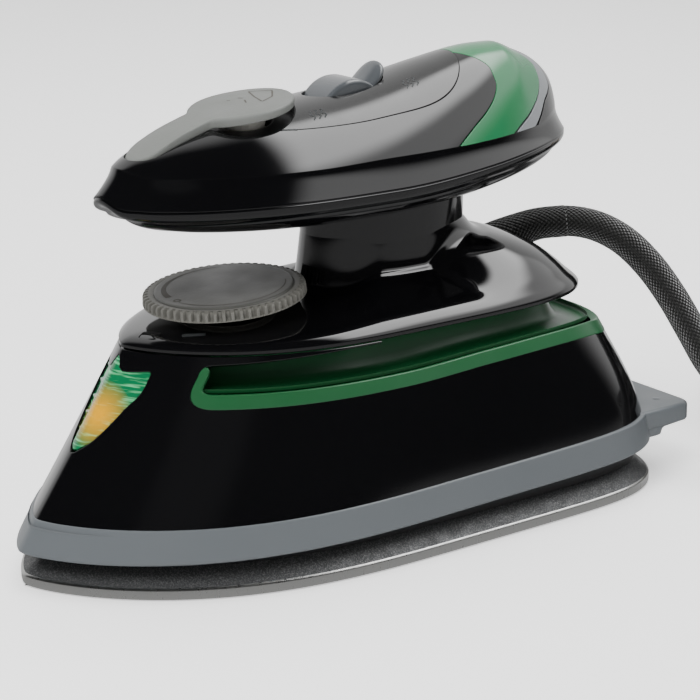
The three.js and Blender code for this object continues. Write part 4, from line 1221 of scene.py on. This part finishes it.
# ---- materials of the CAD nodes that stay ----
NODE_MATERIALS = (
    (STEEL, "heating_element cover_screw heel_screw dial_shaft thermostat_bracket handle_screw lever_pin"),
    (STEEL, "needle_rod needle_spring"),
    (BRASS, "element_terminal_left element_terminal_right plug_pin_earth plug_pin_live plug_pin_neutral"),
    (CAST, "steam_chamber_cover"),
    (CERAMIC, "thermostat thermal_fuse"),
    (SATIN, "terminal_block cord_clamp"),
    (SILICONE, "fill_plug inlet_seal valve_seat drip_tube"),
    (CLEAR, "water_tank tank_lid"),
    (RUBBER, "supply_tail"),
    (BROWN, "live_wire"),
    (BLUE, "neutral_wire"),
    (YELLOW, "earth_wire"),
    (LENS, "pilot_lamp"),
)
for material, names in NODE_MATERIALS:
    for name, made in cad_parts.items():
        if name.rstrip("_0123456789") in names.split():
            made.data.materials.clear()
            made.data.materials.append(material)


# ---- floor, backdrop light and lamps ----
def make_floor():
    mesh = bpy.data.meshes.new("floor")
    reach, low = 6.0, -0.0002
    corners = [(x * reach, y * reach, low) for x, y in ((-1, -1), (1, -1), (1, 1), (-1, 1))]
    mesh.from_pydata(corners, [], [(0, 1, 2, 3)])
    floor = add_object("floor", mesh)
    made = Material("floor", Roughness=0.7, Specular_IOR_Level=0.15, Emission_Color=(1, 1, 1, 1),
                    Emission_Strength=0.62)
    made.link(made.blend(made.noise(3.0), (0.86, 0.86, 0.86), (0.9, 0.9, 0.9)), "Base Color")
    mesh.materials.append(made.material)
    floor.visible_glossy = False


def make_world():
    """Even soft light. Reflections see a white table and backdrop, a softbox, and a dark room elsewhere."""
    world = bpy.data.worlds.new("studio")
    bpy.context.scene.world = world
    world.use_nodes = True
    made = Nodes(world.node_tree)
    towards = made.add("ShaderNodeTexCoord").outputs["Generated"]
    x, y, z = made.add("ShaderNodeSeparateXYZ", towards).outputs

    def times(first, second):
        return made.maths("MULTIPLY", first, second)

    def fade(value, start, end, high=1.0):
        return made.spread(value, 0.0, high, start, end, "SMOOTHSTEP")

    def along(a, b, c):
        return made.maths("ADD", made.maths("ADD", times(x, a), times(y, b)), times(z, c))

    backdrop = times(fade(along(-0.81, 0.588, 0), 0.12, 0.5), fade(z, -0.45, -0.2))
    table = fade(z, -0.01, -0.06, 0.45)
    front = fade(along(0.71, -0.53, 0.46), 0.93, 0.99, 0.07)
    softbox = times(times(fade(y, 0.3, 0.42), fade(z, 0.26, 0.44)), fade(x, -0.34, -0.12))
    softbox = times(softbox, made.maths("ADD", fade(z, 0.6, 0.74, 5.0), 1.6))
    rear, fore = made.maths("MAXIMUM", backdrop, table), made.maths("MAXIMUM", front, softbox)
    seen = made.maths("MAXIMUM", rear, fore)
    glossy = made.add("ShaderNodeLightPath").outputs["Is Glossy Ray"]
    level = made.maths("ADD", times(made.maths("SUBTRACT", seen, 0.57), glossy), 0.6)
    background = world.node_tree.nodes["Background"]
    background.inputs["Color"].default_value = (1, 1, 1, 1)
    made.put(background.inputs["Strength"], level)


def make_lamp(name, place, target, size, power, colour=(1, 1, 1)):
    data = bpy.data.lights.new(name, "AREA")
    data.shape = "RECTANGLE"
    data.size, data.size_y = size
    data.energy = power
    data.color = colour
    lamp = add_object(name, data)
    lamp.location = place
    lamp.rotation_euler = (Vector(target) - Vector(place)).to_track_quat("-Z", "Y").to_euler()
    lamp.visible_glossy = False


make_floor()
make_world()
make_lamp("key", (0.35, -0.55, 0.95), (0, 0, 0.05), (0.7, 0.5), 14)
make_lamp("top", (-0.2, 0.2, 1.1), (0, 0, 0.05), (0.8, 0.8), 12)
